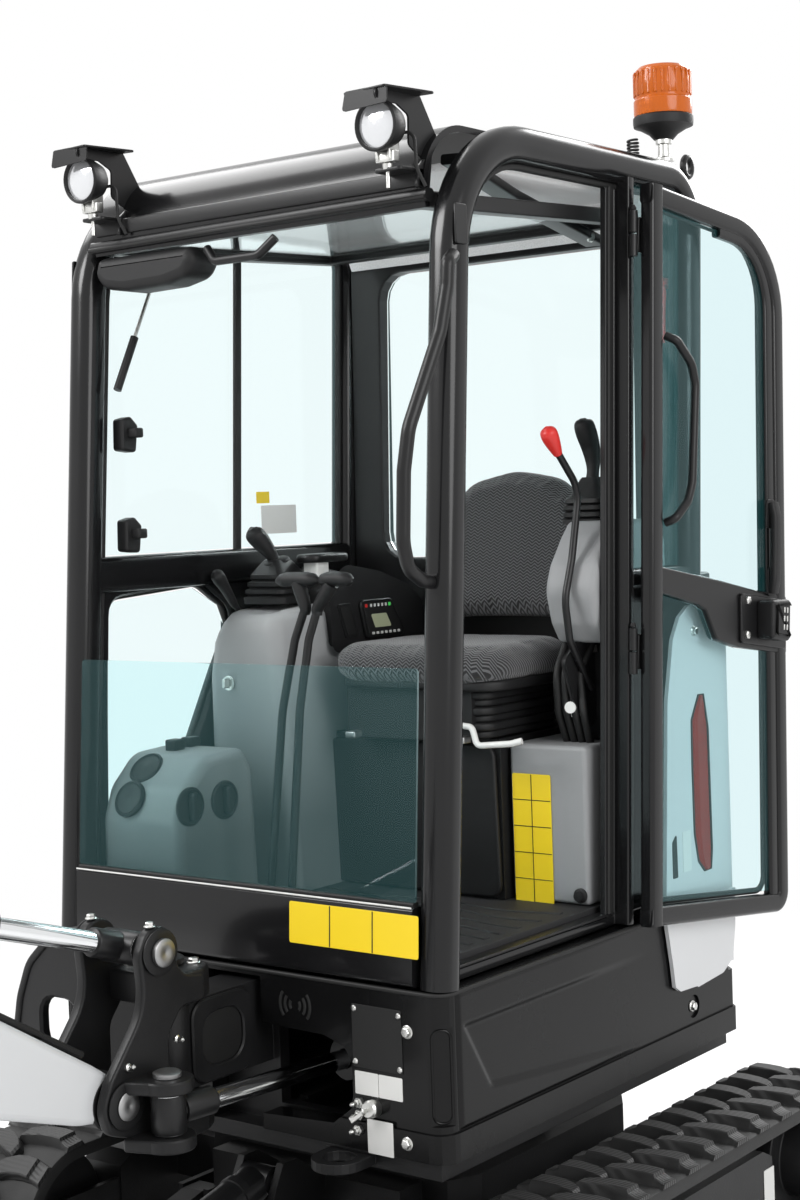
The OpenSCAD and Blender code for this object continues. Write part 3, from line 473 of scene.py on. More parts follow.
def dress(node, mat, edge):
    """A CAD node keeps its mesh: its loose triangles are welded and its edges rounded by modifiers only."""
    o = frame["nodes"][node]
    o.data.materials.clear()
    o.data.materials.append(mat)
    weld = o.modifiers.new("weld", "WELD")
    weld.merge_threshold = 0.00002
    flat = o.modifiers.new("flat", "DECIMATE")
    flat.decimate_type, flat.angle_limit = "DISSOLVE", math.radians(0.6)
    if edge:
        bevel = o.modifiers.new("round", "BEVEL")
        bevel.width, bevel.segments = edge / 1000, 3
        bevel.limit_method, bevel.angle_limit = "ANGLE", math.radians(35)
        bevel.harden_normals = True


for node_name, (node_mat, node_edge) in DRESS.items():
    dress(node_name, node_mat, node_edge)

# floor, light and white background


def studio():
    """Pale floor, white surround for what looks at it, soft lamps at a plain level."""
    z = CAD_BOX[0][2] - 0.0005
    mesh = bpy.data.meshes.new("floor")
    mesh.from_pydata([(-30, -30, z), (30, -30, z), (30, 30, z), (-30, 30, z)], [], [(0, 1, 2, 3)])
    m, t, b = shader("floor")
    fill(b, {"Base Color": (0.9, 0.9, 0.9, 1), "Roughness": 0.8})
    away = add(t, "ShaderNodeVectorMath", {}, {0: t.nodes.new("ShaderNodeTexCoord").outputs["Object"]})
    away.operation = "LENGTH"
    fade = add(t, "ShaderNodeMapRange", {"From Min": 2.6, "From Max": 5.2}, {"Value": away.outputs["Value"]})
    glow = t.nodes.new("ShaderNodeEmission")
    mix = add(t, "ShaderNodeMixShader", {}, {0: fade.outputs["Result"], 1: b.outputs[0], 2: glow.outputs[0]})
    t.links.new(mix.outputs[0], t.nodes["Material Output"].inputs["Surface"])
    mesh.materials.append(m)
    floor = bpy.data.objects.new("floor", mesh)
    scene.collection.objects.link(floor)

    world = scene.world or bpy.data.worlds.new("world")
    scene.world = world
    world.use_nodes = True
    t = world.node_tree
    t.nodes.clear()
    out = t.nodes.new("ShaderNodeOutputWorld")
    light = add(t, "ShaderNodeBackground", {"Color": (1, 1, 1, 1), "Strength": 0.55}, {})
    white = add(t, "ShaderNodeBackground", {"Color": (1, 1, 1, 1), "Strength": 1.0}, {})
    path = t.nodes.new("ShaderNodeLightPath")
    seen = path.outputs["Is Camera Ray"]
    for ray in ("Is Glossy Ray", "Is Transmission Ray"):
        top = add(t, "ShaderNodeMath", {}, {0: seen, 1: path.outputs[ray]})
        top.operation = "MAXIMUM"
        seen = top.outputs[0]
    mix = add(t, "ShaderNodeMixShader", {}, {0: seen, 1: light.outputs[0], 2: white.outputs[0]})
    t.links.new(mix.outputs[0], out.inputs[0])

    def lamp(name, place, aim, size, power):
        """Disk lamp at place, turned to aim, both in mm; size in metres and power in watts."""
        data = bpy.data.lights.new(name, "AREA")
        data.shape, data.size, data.energy = "DISK", size, power
        o = bpy.data.objects.new(name, data)
        o.location = Vector(place) / 1000 + Vector(SHIFT)
        goal = Vector(aim) / 1000 + Vector(SHIFT)
        o.rotation_euler = (goal - o.location).to_track_quat("-Z", "Y").to_euler()
        scene.collection.objects.link(o)

    lamp("key", (-2600, -4200, 4600), (0, -300, 1200), 2.6, 230)
    lamp("fill", (4800, -1500, 3200), (0, -200, 1200), 3.2, 120)
    lamp("back", (500, 4200, 4200), (0, 0, 1600), 2.6, 150)
    lamp("roof_glint", (-2600, 120, 4900), (0, -400, 2250), 2.6, 80)


studio()
scene.view_settings.view_transform = "Standard"

# cab shell

CAB_BASE, PILLAR_MID, HOOP_X = 760, 1600, 456
FRONT_LEAN, REAR_LEAN = 0.0787, 0.0577


def lean_f(z):
    """y of the front pillar's middle at height z, a straight line that leans back."""
    return -540 + FRONT_LEAN * (z - CAB_BASE)


def lean_r(z):
    """y of the rear pillar's middle at height z, a straight line that leans back."""
    return 320 + REAR_LEAN * (z - CAB_BASE)


def pillar_line(y0, x, z0, z1):
    """Two ends of a post that leans like the rear pillar and passes y0 at mid height."""
    return np.array([(x, y0 + REAR_LEAN * (z - PILLAR_MID), z) for z in (z0, z1)])


def ring_data(outer, inner, depth, edge, origin, a_axis, b_axis, count=120):
    """A plate with one hole, its rims rounded by edge.

    Both outlines are read at the same angles about the hole's middle.
    """
    mid = np.asarray(inner, float).mean(0)

    def polar(outline):
        """The outline at count even angles, its radius read between close points."""
        p = np.concatenate([outline, outline[:1]])
        seg = np.linspace(0, 1, 40, endpoint=False)
        fine = (p[:-1, None] + (p[1:] - p[:-1])[:, None] * seg[None, :, None]).reshape(-1, 2) - mid
        ang = np.arctan2(fine[:, 1], fine[:, 0])
        order = np.argsort(ang)
        want = np.linspace(-math.pi, math.pi, count, endpoint=False)
        rad = np.hypot(fine[:, 0], fine[:, 1])[order]
        r = np.interp(want, ang[order], rad, period=2 * math.pi)
        return mid + np.stack([np.cos(want), np.sin(want)], -1) * r[:, None]

    o, i = polar(np.asarray(outer, float)), polar(np.asarray(inner, float))
    toward = unit(i - o)
    rings = [(o + toward * edge, 0), (o, edge), (o, depth - edge), (o + toward * edge, depth),
             (i - toward * edge, depth), (i, depth - edge), (i, edge), (i - toward * edge, 0)]
    v = np.concatenate([raised(q, h, origin, a_axis, b_axis) for q, h in rings])
    return v, grid(len(rings), count, wrap_rows=True)


TUBE = corner_box(64, 66, 27, 8)
for sign, side in ((1, "left"), (-1, "right")):
    x = HOOP_X * sign
    hoop = smooth_path([(x, lean_f(762), 762), (x, lean_f(2266), 2266), (x, lean_r(2266), 2266),
                        (x, lean_r(762), 762)], [232, 92], 14)
    piece = sweep(f"cab_hoop_{side}", hoop, TUBE, X, GLOSS, slot="black_paint")
    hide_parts(f"cab_{side}_frame")
    sweep(f"cab_hoop_seal_{side}",
          smooth_path([(x - 8 * sign, lean_f(800) + 37, 800), (x - 8 * sign, lean_f(2228) + 40, 2228),
                       (x - 8 * sign, lean_r(2228) - 37, 2228), (x - 8 * sign, lean_r(800) - 37, 800)],
                      [195, 60], 10), corner_box(17, 12, 4), X, GASKET)

# left side: B post with its step for the door, sill, panel and rail under the quarter window
B_POST = soft_outline([(-14, -24), (-4, -24), (-4, 2), (30, 2), (30, 24), (-14, 24)], 4, 3)
sweep("b_post", pillar_line(96, 455, 766, 2244), B_POST, X, GLOSS, slot="black_paint")
sweep("b_post_seal", pillar_line(80, 452.5, 790, 2225), corner_box(9, 20, 4), X, GASKET)
sweep("b_post_trim", pillar_line(67, 447, 790, 2225), corner_box(14, 9, 3), X, SATIN)
sweep("door_sill", [(439, -512, 773), (439, 326, 773)], corner_box(27, 22, 6), X, GLOSS, slot="black_paint")
sweep("sill_tread", [(440, -480, 787), (440, 60, 787)], corner_box(26, 6, 2), X, SATIN)
slab("left_quarter_panel", soft_outline([(72, 784), (318, 784), (355, 1440), (110, 1440)], 14), 30, 6,
     (446, 0, 0), Y, Z, GLOSS, slot="black_paint")
sweep("left_quarter_rail", [(HOOP_X, 108, 1448), (HOOP_X, 350, 1448)], corner_box(50, 40, 10), X, GLOSS)

# right side: belt rail, low panel with its rounded window, divider of the sliding panes
sweep("right_belt_rail", [(-HOOP_X, lean_f(1492), 1489), (-HOOP_X, lean_r(1492), 1492)],
      corner_box(56, 74, 12), X, GLOSS, slot="black_paint")
LOW_WINDOW = soft_outline([(-458, 905), (-428, 1440), (-150, 1458), (-62, 1400), (-64, 1345), (-202, 1100),
                           (-290, 905)], [30, 40, 60, 70, 60, 40, 30])
put("right_low_panel", *ring_data(np.array([(-520, 775), (310, 775), (352, 1500), (-480, 1500)]),
                                  LOW_WINDOW[::-1], 34, 6, (-474, 0, 0), Y, Z), GLOSS, slot="black_paint")
sweep("right_divider", pillar_line(-19, -452, 1525, 2240), corner_box(12, 18, 3), X, GASKET)
sweep("right_low_seal", np.array([(-462, a, b) for a, b in np.concatenate([LOW_WINDOW, LOW_WINDOW[:1]])]),
      corner_box(18, 12, 4), X, GASKET)

# roof: half-round front edge running into the flat top, header bar, headliner, beam
ARC = np.radians(np.linspace(90, 196, 22))
OUTER = np.stack([-330 + 124 * np.cos(ARC), 2168 + 124 * np.sin(ARC)], -1)
INNER = np.stack([-330 + 112 * np.cos(ARC), 2168 + 112 * np.sin(ARC)], -1)[::-1]
ROOF = np.concatenate([[(398, 2262), (398, 2284), (386, 2292)], OUTER, INNER, [(380, 2280), (384, 2262)]])
piece = sweep("roof_skin", [(-417, 0, 0), (417, 0, 0)], ROOF, Y, GLOSS, slot="black_paint")
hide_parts("cab_roof")
sweep("roof_front_lip", [(-404, -452, 2186), (414, -452, 2186)], corner_box(16, 30, 4), Y, SATIN)
sweep("header_bar", [(-424, -446, 2151), (424, -446, 2156)], corner_box(26, 24, 9), Y, SATIN)
sweep("header_bead", [(-424, -461, 2146), (424, -461, 2151)], circle(4, 10), Y, GASKET)
# headliner and its rear part glow faintly: painted light on the ceiling
slab("headliner", soft_outline([(-400, -290), (400, -290), (400, 372), (-400, 372)], 60), 16, 6, (0, 0, 2226),
     X, Y, HEADLINER_PAINTED_GLOW)
slab("headliner_vent", corner_box(170, 90, 30), 9, 4, (150, 120, 2219), X, Y, BLACKP)
joined("headliner_vent_slats",
       [block_data(82 + k * 16, 90 + k * 16, 84, 156, 2215, 2221, 1, 2) for k in range(9)], GREY)
slab("headliner_recess", corner_box(260, 60, 29), 8, 3, (60, -110, 2220), X, Y, PLATE)
sweep("roof_beam_left", smooth_path([(392, -330, 2236), (330, -60, 2205), (300, 300, 2150)], [300], 8),
      corner_box(46, 20, 5), X, SATIN)
lathe("roof_beam_bolt", [(3, 0), (11, 1), (12, 6), (9, 9), (2, 10)], (318, 250, 2154), (1, 0, -0.3), ZINC,
      n=6)

# front: lower panel with a rolled edge, its pane, the pane stowed under the roof, blank yellow plate
PANEL = soft_outline([(-577, 766), (-569, 906), (-532, 906), (-512, 766)], [10, 8, 4, 4], 4)
piece = sweep("front_panel", [(-422, 0, 0), (423, 0, 0)], PANEL, Y, GLOSS, slot="black_paint")
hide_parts("cab_front_panel")
pane = slab("front_lower_pane", soft_outline([(-423, 0), (423, 0), (423, 412), (-423, 412)], 8), 5.8, 0.8,
            (0, -554, 912), X, (0, 30, 411), DARKGLASS, slot="glass")
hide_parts("front_glass")
slab("stowed_pane", soft_outline([(-377, 0), (377, 0), (377, 663), (-377, 663)], 8), 5.8, 0.8,
     (0, -414, 2149.6), X, (0, 663, 28.5), PANE)
sweep("front_glass_seal", [(-421, -556, 910), (422, -556, 910)], corner_box(16, 9, 3), Y, GASKET)
sweep("front_glass_bead", [(-420, -570.5, 907), (422, -570.5, 907)], corner_box(3, 3, 1), Y, PLATE)
slab("headliner_rear",
     soft_outline([(288, 2226), (288, 2214), (330, 2208), (356, 2190), (369, 2164), (377.6, 2164),
                   (378.6, 2226)], [2, 2, 40, 40, 2, 2, 2]), 826, 1, (-413, 0, 0), Y, Z, HEADLINER_PAINTED_GLOW, sharp=50)
slab("yellow_plate", corner_box(296, 76, 4) + (290, 858), 1.2, 0.4, (0, -621.0, 0), X, (0, 0.057, 1), YELLOW)
joined("yellow_plate_lines",
       [slab_data(corner_box(2.2, 74, 0.8) + (x, 858), 0.6, 0.2, (0, -622.3, 0), X, (0, 0.057, 1))
        for x in (238, 336)], GASKET)

# lamps, beacon, handle on the near pillar

for sign, side in ((1, "left"), (-1, "right")):
    c = np.array((372 * sign, -515, 2275))
    aim = (0, -1, -0.06)
    body = lathe(f"lamp_{side}",
                 [(8, -44), (22, -43), (34, -30), (43, -6), (46, 4), (46, 14), (43, 17), (40, 15), (39, 9)],
                 c, aim, BLACKP, n=40)
    if sign > 0:
        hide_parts("work_lights")
    lathe(f"lamp_glass_{side}", [(0.5, 15), (14, 14.4), (28, 12.4), (39, 9.5)], c, aim, LAMP, n=40)
    cup = [block_data(c[0] - 20, c[0] + 20, -508, -486, 2212, 2232, 2, 4)]
    joined(f"lamp_bracket_{side}",
           cup + [slab_data(corner_box(30, 46, 8), 5, 1.2, (c[0] + k, -497, 2236), Y, Z) for k in (-16, 11)],
           ZINC)
    lathe(f"lamp_stud_{side}", [(4, -44), (4, -12), (9, -12), (10, -2), (7, 0)], (c[0], -497, 2212), Z, ZINC,
          n=12)
    joined(f"lamp_foot_{side}",
           [block_data(c[0] - 26, c[0] + 34, -505, -448, 2196, 2203, 2, 8),
            slab_data(soft_outline([(-468, 2168), (-430, 2168), (-418, 2240), (-462, 2204)], 6), 8, 2,
                      (c[0] + 34, 0, 0), Y, Z)], SATIN)
    roof = np.array([(-56, -548), (44, -556), (66, -436), (-40, -452)])
    top = slab_data(soft_outline(roof, 6), 4, 1, (c[0], 0, 2331), X, Y)
    lip = slab_data(soft_outline([(-54, 2302), (-46, 2334), (44, 2334), (44, 2306)], 4), 4, 1,
                    (c[0], -548, 0), X, Z)
    wing = slab_data(soft_outline([(-556, 2334), (-438, 2334), (-392, 2262), (-440, 2226), (-470, 2244),
                                   (-468, 2296), (-500, 2312), (-556, 2312)], 10), 4, 1, (c[0] + 48, 0, 0),
                     (0.05, 1, 0), Z)
    joined(f"lamp_shield_{side}", [top, lip, wing], SATIN)
    sweep(f"lamp_cable_{side}",
          smooth_path([(c[0] + 6, -478, 2262), (c[0] + 40, -470, 2268), (c[0] + 46, -474, 2200),
                       (c[0] + 56, -462, 2168)], [18, 40], 6), circle(3.2, 8), (1, 0, 0.2), GASKET)

BEACON = (447, 345, 0)
piece = lathe("beacon_lens", [(46, 2394), (59, 2395), (60, 2399), (60, 2426), (57, 2430), (57, 2436),
                              (59, 2440), (58, 2470), (55, 2488), (48, 2495), (30, 2499), (0.5, 2501)],
              BEACON, Z, AMBER, n=48, slot="amber_lens")
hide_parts("beacon")
ribs = np.arange(24) * 2 * math.pi / 24
joined("beacon_ribs",
       [slab_data(corner_box(5, 50, 2), 5, 1.5,
                  (BEACON[0] + 55 * math.cos(a), BEACON[1] + 55 * math.sin(a), 2460),
                  (-math.sin(a), math.cos(a), 0), Z) for a in ribs], AMBER)
lathe("beacon_base", [(14, 2346), (20, 2347), (30, 2358), (50, 2370), (61, 2374), (62, 2380), (62, 2392),
                      (58, 2395), (20, 2396)], BEACON, Z, BLACKP, n=48)
lathe("beacon_neck", [(20, 2302), (20, 2308), (13, 2312), (12, 2336), (17, 2338), (17, 2348), (10, 2350)],
      BEACON, Z, ZINC, n=24)
helix = np.linspace(0, 7 * 2 * math.pi, 120)
sweep("beacon_cable",
      np.stack([BEACON[0] - 62 + 11 * np.cos(helix), BEACON[1] - 20 + 11 * np.sin(helix), 2304 + helix * 1.1],
               -1), circle(2.6, 6), Z, GASKET)
eye = np.linspace(0, 2 * math.pi, 28, endpoint=False)
sweep("lifting_eye", np.stack([np.full(28, 447.0), 440 + 17 * np.cos(eye), 2302 + 20 * np.sin(eye)], -1),
      circle(7, 10), X, SATIN, closed=True)

HANDLE = [(492, -476, 2040), (499, -502, 2026), (497, -504, 1985), (490, -520, 1905), (470, -592, 1740),
          (462, -599, 1668), (456, -600, 1545), (453, -584, 1500), (449, -540, 1478), (449, -512, 1474)]
piece = sweep("pillar_handle", smooth_path(HANDLE, [14, 30, 80, 80, 80, 80, 40, 30], 7), circle(12.5, 16),
              (1, 0.2, 0), SATIN, slot="black_paint")
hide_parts("grab_handle")

# door, drawn closed and then swung about its hinge line

HINGE = np.array((496.0, 80.0, 1307.0))
AXIS = unit((0, REAR_LEAN, 1))
OPEN = math.radians(177)
DOOR_X = 473


def swung(data):
    """Points turned about the hinge line by the angle at which the door stands open."""
    v, f = data
    p = np.asarray(v, float) - HINGE
    along = (p @ AXIS)[:, None] * AXIS
    return HINGE + along + (p - along) * math.cos(OPEN) + np.cross(AXIS, p) * math.sin(OPEN), f


def hinge_y(z):
    """y of the hinge line at height z."""
    return HINGE[1] + REAR_LEAN * (z - HINGE[2])


def door_edge(z, d):
    """y at height z of a line d behind the front pillar's rear face."""
    return lean_f(z) + 30 + d


DOOR = smooth_path([(DOOR_X, hinge_y(785) - 12, 785), (DOOR_X, door_edge(785, 27), 785),
                    (DOOR_X, door_edge(2209, 27), 2209), (DOOR_X, hinge_y(2209) - 12, 2209)], [24, 180], 12)
frame_bar = sweep_data(DOOR, corner_box(30, 40, 9), X)
stile = sweep_data([(DOOR_X, hinge_y(z) - 32, z) for z in (766, 2229)], corner_box(32, 42, 9), X)
strip = sweep_data(smooth_path([(474, door_edge(790, 56), 790), (474, door_edge(2192, 56), 2192),
                                (474, door_edge(2192, 56) + 200, 2192)], [150], 10), corner_box(22, 40, 7), X)
piece = joined("door_bars", [swung(frame_bar), swung(stile), swung(strip)], GLOSS, "door", slot="black_paint")
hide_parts("door_frame")
MID = soft_outline([(-460, 1322), (-452, 1447), (-333, 1451), (-198, 1462), (29, 1476), (72, 1479),
                    (72, 1426), (19, 1423), (-98, 1410), (-128, 1400), (-173, 1342), (-259, 1329)][::-1],
                   [20, 24, 14, 16, 20, 4, 4, 20, 40, 40, 6, 6])
joined("door_mid_rail",
       [swung(slab_data(MID, 26, 4, (460, 0, 0), Y, Z)),
        swung(slab_data(soft_outline([(-446, 1332), (-260, 1338), (-252, 1442), (-440, 1438)], 10), 8, 3,
                        (453, 0, 0), Y, Z))], SATIN, "door")
LATCH = soft_outline([(-390, 1347), (-318, 1350), (-314, 1430), (-388, 1437)], 9)
joined("door_latch", [swung(slab_data(LATCH, 44, 8, (411, 0, 0), Y, Z)),
                      swung(slab_data(inset(LATCH, 13), 6, 2, (407, 0, 0), Y, Z)),
                      swung(block_data(489, 500, -432, -384, 1360, 1424, 4, 6))], BLACKP, "door")
joined("door_latch_slots", [swung(slab_data(corner_box(5, 12, 2) + (y, z), 2, 0.5, (405.6, 0, 0), Y, Z))
                            for y in (-352, -364) for z in (1376, 1394, 1412)], ZINC, "door")
joined("door_latch_bolts",
       [swung(lathe_data([(3, 0), (9, 0.5), (9, 5), (6, 7), (1, 7.4)], (453, y, z), (-1, 0, 0), 6))
        for y, z in ((-276, 1428), (-278, 1356))], ZINC, "door")
grip = smooth_path([(451, -378, 1450), (445, -375, 1478), (444, -372, 1546), (445, -369, 1614),
                    (451, -366, 1642)], [40, 200, 40], 5)
piece = joined("door_pull", [swung(sweep_data(grip, corner_box(18, 27, 7), X))]
               + [swung(slab_data(corner_box(36, 62, 8) + pad, 4, 1.2, (454, 0, 0), Y, Z))
                  for pad in ((-380, 1474), (-366, 1618))], BLACKP, "door")
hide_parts("door_hardware")
bar = smooth_path([(468, 22, 1566), (447, 18, 1574), (444, -20, 1612), (444, -34, 1650), (444, -34, 1850),
                   (444, -18, 1888), (447, 34, 1928), (468, 44, 1938)], [14, 40, 40, 40, 40, 14], 7)
joined("door_grab_bar", [swung(sweep_data(bar, circle(9, 14), (1, 0.3, 0)))], SATIN, "door")
rim = smooth_path([(486, hinge_y(812) - 58, 812), (486, door_edge(812, 74), 812),
                   (486, door_edge(2192, 74), 2192), (486, hinge_y(2192) - 58, 2192)], [30, 140], 10)
joined("door_glass_seal", [swung(sweep_data(rim, corner_box(7, 14, 3), X))], GASKET, "door")
knuckles = []
for z in (HINGE[2], 2130):
    base = HINGE + AXIS * (z - HINGE[2]) / AXIS[2]
    knuckles += [lathe_data([(2, h0), (9, h0 + 1), (9, h1 - 1), (2, h1)], base, AXIS, 20)
                 for h0, h1 in ((-46, -1), (1, 46))]
    knuckles.append(swung(slab_data(corner_box(48, 70, 6) + (hinge_y(z) - 32, z), 5, 1.5, (489, 0, 0), Y, Z)))
    knuckles.append(lathe_data([(1, 46), (6, 47), (7, 50), (4, 56), (1, 57)], base, AXIS, 16))
joined("door_hinges", knuckles, SATIN, "door")

# seat: two padded pieces, swelled by a cloth run, over a black sprung base


def plump(obj, cap, voxel=0.006):
    """Voxel remesh, then twenty frames of cloth under pressure; no point moves more than cap metres."""
    mod = obj.modifiers.new("voxels", "REMESH")
    mod.mode, mod.voxel_size, mod.use_smooth_shade = "VOXEL", voxel, True
    mesh = bpy.data.meshes.new_from_object(obj.evaluated_get(bpy.context.evaluated_depsgraph_get()))
    obj.modifiers.clear()
    obj.data = mesh
    count = len(mesh.vertices) * 3
    start = np.empty(count)
    mesh.vertices.foreach_get("co", start)
    cloth = obj.modifiers.new("cloth", "CLOTH")
    cloth.settings.use_pressure = True
    cloth.settings.uniform_pressure_force = 4
    cloth.settings.effector_weights.gravity = 0
    for n in range(1, 21):
        scene.frame_set(n)
    soft = obj.evaluated_get(bpy.context.evaluated_depsgraph_get()).to_mesh()
    end = np.empty(count)
    soft.vertices.foreach_get("co", end)
    obj.modifiers.clear()
    scene.frame_set(1)
    move = (end - start).reshape(-1, 3)
    size = np.linalg.norm(move, axis=1, keepdims=True)
    start = (start.reshape(-1, 3) + move * np.minimum(1, cap / np.maximum(size, 1e-9))).ravel()
    mesh.vertices.foreach_set("co", start)
    mesh.update()
    mesh.shade_smooth()
    sub = obj.modifiers.new("fine", "SUBSURF")
    sub.levels = sub.render_levels = 1
    return obj


cushion = slab("seat_pad", corner_box(444, 380, 95, 9) + (60, 74), 62, 26, (0, 0, 1254), X, Y, CLOTH,
               slot="seat_cloth")
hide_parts("seat_cushion")
plump(cushion, 0.010)
BACK = soft_outline([(-216, 0), (216, 0), (220, 180), (140, 318), (0, 346), (-140, 318), (-220, 180)],
                    [40, 40, 150, 110, 300, 110, 150], 8)
back = slab("seat_back_pad", BACK, 48, 22, (70, 306, 1346), X, (0, 0.16, 1), CLOTH, slot="seat_cloth")
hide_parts("seat_back")
plump(back, 0.012)
slab("seat_pan", corner_box(410, 330, 70, 7) + (60, 82), 22, 7, (0, 0, 1232), X, Y, BLACKP)
joined("seat_bellows",
       [slab_data(corner_box(352 + 14 * (k % 2), 286 + 14 * (k % 2), 40) + (48, 92), 17, 6,
                  (0, 0, 1134 + 16 * k), X, Y) for k in range(6)], BLACKP)
joined("seat_rails", [block_data(x, x + 26, -86, 268, 1128, 1142, 3, 4) for x in (-110, 170)], STEEL)
sweep("seat_lever",
      smooth_path([(120, -72, 1168), (208, -72, 1162), (222, -76, 1125), (300, -70, 1132), (322, -64, 1138)],
                  [14, 14, 12], 6), circle(6.5, 12), (0, 1, 0.1), PLATE)
slab("seat_base_front", soft_outline([(-222, 806), (224, 806), (216, 1118), (-214, 1118)], 26), 12, 5,
     (0, -1, 0), X, Z, BLACKP)

# right console, gaiter, sticks, instruments


def box_ring(x0, x1, y0, y1, r, z, rise=0.0, n=7):
    """Rounded rectangle at height z whose far part climbs by rise times the distance behind y = -180.

    The distance counts up to 125 mm.
    """
    o = corner_box(x1 - x0, y1 - y0, r, n) + ((x0 + x1) / 2, (y0 + y1) / 2)
    lift = rise * np.clip(o[:, 1] + 180, 0, 125)
    return np.column_stack([o, z + lift])


def limb_data(path, radii, n=18):
    """A round section carried along a path, its radius read along the way, tips closed."""
    path = np.asarray(path, float)
    t, a, b = frames(path, (1, 0.05, 0))
    c = circle(1, n)
    r = np.asarray(radii, float)[:, None, None]
    return loft_data(path[:, None] + r * (c[None, :, :1] * a[:, None] + c[None, :, 1:] * b[:, None]))


def smooth_limb(points, radii, steps=6):
    """limb_data with points and radii filled in between by a cubic through the given ones."""
    p = np.column_stack([np.asarray(points, float), radii])
    d = np.gradient(p, axis=0)
    u = np.linspace(0, 1, steps, endpoint=False)[None, :, None]
    a, b, da, db = p[:-1, None], p[1:, None], d[:-1, None], d[1:, None]
    q = ((2 * u**3 - 3 * u**2 + 1) * a + (u**3 - 2 * u**2 + u) * da
         + (3 * u**2 - 2 * u**3) * b + (u**3 - u**2) * db)
    q = np.concatenate([q.reshape(-1, 4), p[-1:]])
    return limb_data(q[:, :3], np.maximum(q[:, 3], 0.4))


# right console in the grey with painted shade, darker towards the floor
console = put("console_right", *loft_data([box_ring(*row) for row in (
    (-427, -195, -155, 300, 26, 803), (-424, -204, -168, 300, 30, 1120), (-414, -204, -180, 300, 34, 1260),
    (-402, -206, -184, 300, 40, 1330), (-390, -208, -184, 300, 40, 1352, 0.1),
    (-378, -212, -180, 298, 38, 1368, 0.25), (-368, -222, -168, 290, 34, 1378, 0.34),
    (-356, -236, -150, 280, 26, 1380, 0.34))]), GREY_PAINTED_SHADE, sharp=50, slot="grey_plastic")
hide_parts("right_console")
put("console_gaiter",
    *loft_data([box_ring(-310 - s / 2, -310 + s / 2, -52 - s / 2, -52 + s / 2, s * 0.16, z)
                for s, z in ((116, 1410), (118, 1424), (100, 1428), (112, 1432), (112, 1440), (94, 1444),
                             (104, 1448), (104, 1456), (86, 1460), (94, 1464), (92, 1472), (50, 1500),
                             (42, 1503))]), BLACKP, sharp=28)
joined("stick_right",
       [smooth_limb([(-312, -54, 1494), (-315, -60, 1508), (-319, -68, 1522), (-329, -84, 1546),
                     (-335, -97, 1562), (-337, -104, 1572)], [15, 13, 16, 21, 20, 7]),
        lathe_data([(27, -4), (31, 0), (27, 5), (14, 7)], (-312, -54, 1500), (0, -0.25, 1), 28)], BLACKP,
       sharp=60)
joined("stick_right_buttons",
       [lathe_data([(5, 0), (5, 4), (2, 6)], (-336 + k, -94, 1570), (0, -0.3, 1), 12) for k in (-7, 7)],
       GASKET)
joined("blade_lever",
       [smooth_limb([(-388, -76, 1372), (-390, -98, 1400), (-391, -108, 1412), (-394, -130, 1446),
                     (-397, -150, 1474), (-398, -158, 1484)], [6, 6, 9, 12, 15, 5])], BLACKP, sharp=60)
slab("blade_lever_slot", corner_box(14, 62, 6.9) + (-360, 1348), 2, 0.6, (0, -182.5, 0), X, (0, 0.1, 1),
     GASKET)
joined("console_switch",
       [lathe_data([(9, -2), (15, -1), (16, 3), (12, 4), (9, 2)], (-345, -180, 1246), AHEAD, 28),
        slab_data(corner_box(8, 20, 3) + (-345, 1246), 16, 2, (0, -184, 0), X, Z)], ZINC)
INSTR = soft_outline([(-14, 1312), (-16, 1430), (22, 1476), (140, 1457), (240, 1424), (286, 1388),
                      (286, 1306)], [14, 26, 40, 120, 60, 40, 14], 6)
slab("instrument_pod", INSTR, 118, 13, (-303, 0, 0), Y, Z, BLACKP, sharp=45)
KEYS_X = -176.5
BEZEL = soft_outline([(84, 1322), (230, 1322), (174, 1408), (62, 1408)], 13, 5)
slab("display_rim", BEZEL, 9, 3, (-186, 0, 0), Y, Z, SATIN)
slab("display_face", inset(BEZEL, 9), 3, 1, (-178.5, 0, 0), Y, Z, GASKET)
slab("display_screen", soft_outline([(112, 1346), (170, 1346), (152, 1376), (98, 1376)], 3), 1, 0.3,
     (-176, 0, 0), Y, Z, SCREEN)
joined("display_keys", [slab_data(corner_box(8, 6, 2) + (104 + 15 * k, 1334), 3, 0.8, (KEYS_X, 0, 0), Y, Z)
                        for k in range(7)]
       + [slab_data(corner_box(6, 7, 2) + (86 + 13 * k, 1395), 2, 0.5, (KEYS_X, 0, 0), Y, Z)
          for k in range(1, 6)], PLATE)
slab("display_red", corner_box(8, 8, 2) + (82, 1395), 2, 0.5, (KEYS_X, 0, 0), Y, Z, REDKNOB)
slab("display_green", corner_box(8, 8, 2) + (164, 1395), 2, 0.5, (KEYS_X, 0, 0), Y, Z, GREEN)
slab("pocket_rim", soft_outline([(18, 1328), (62, 1328), (38, 1404), (-8, 1404)], 6), 3, 1, (-186, 0, 0), Y,
     Z, SATIN)
# dark sheet inside the pocket's rim: painted shade for the pocket's depth
slab("pocket_painted_shade", soft_outline([(24, 1335), (55, 1335), (33, 1398), (-1, 1398)], 4), 1, 0.3, (-183, 0, 0),
     Y, Z, GASKET)
slab("console_dial", circle(34, 30, 0.8) + (-262, 95), 5, 2, (0, 0, 1464), X, (0, 1, -0.14), SATIN)
joined("console_cap", [slab_data(corner_box(64, 132, 26) + (-250, 29), 19, 7, (0, 0, 1494), X, Y)], SATIN)
joined("console_cap_block", [block_data(-272, -232, -12, 30, 1462, 1496, 3, 5)], PLATE)

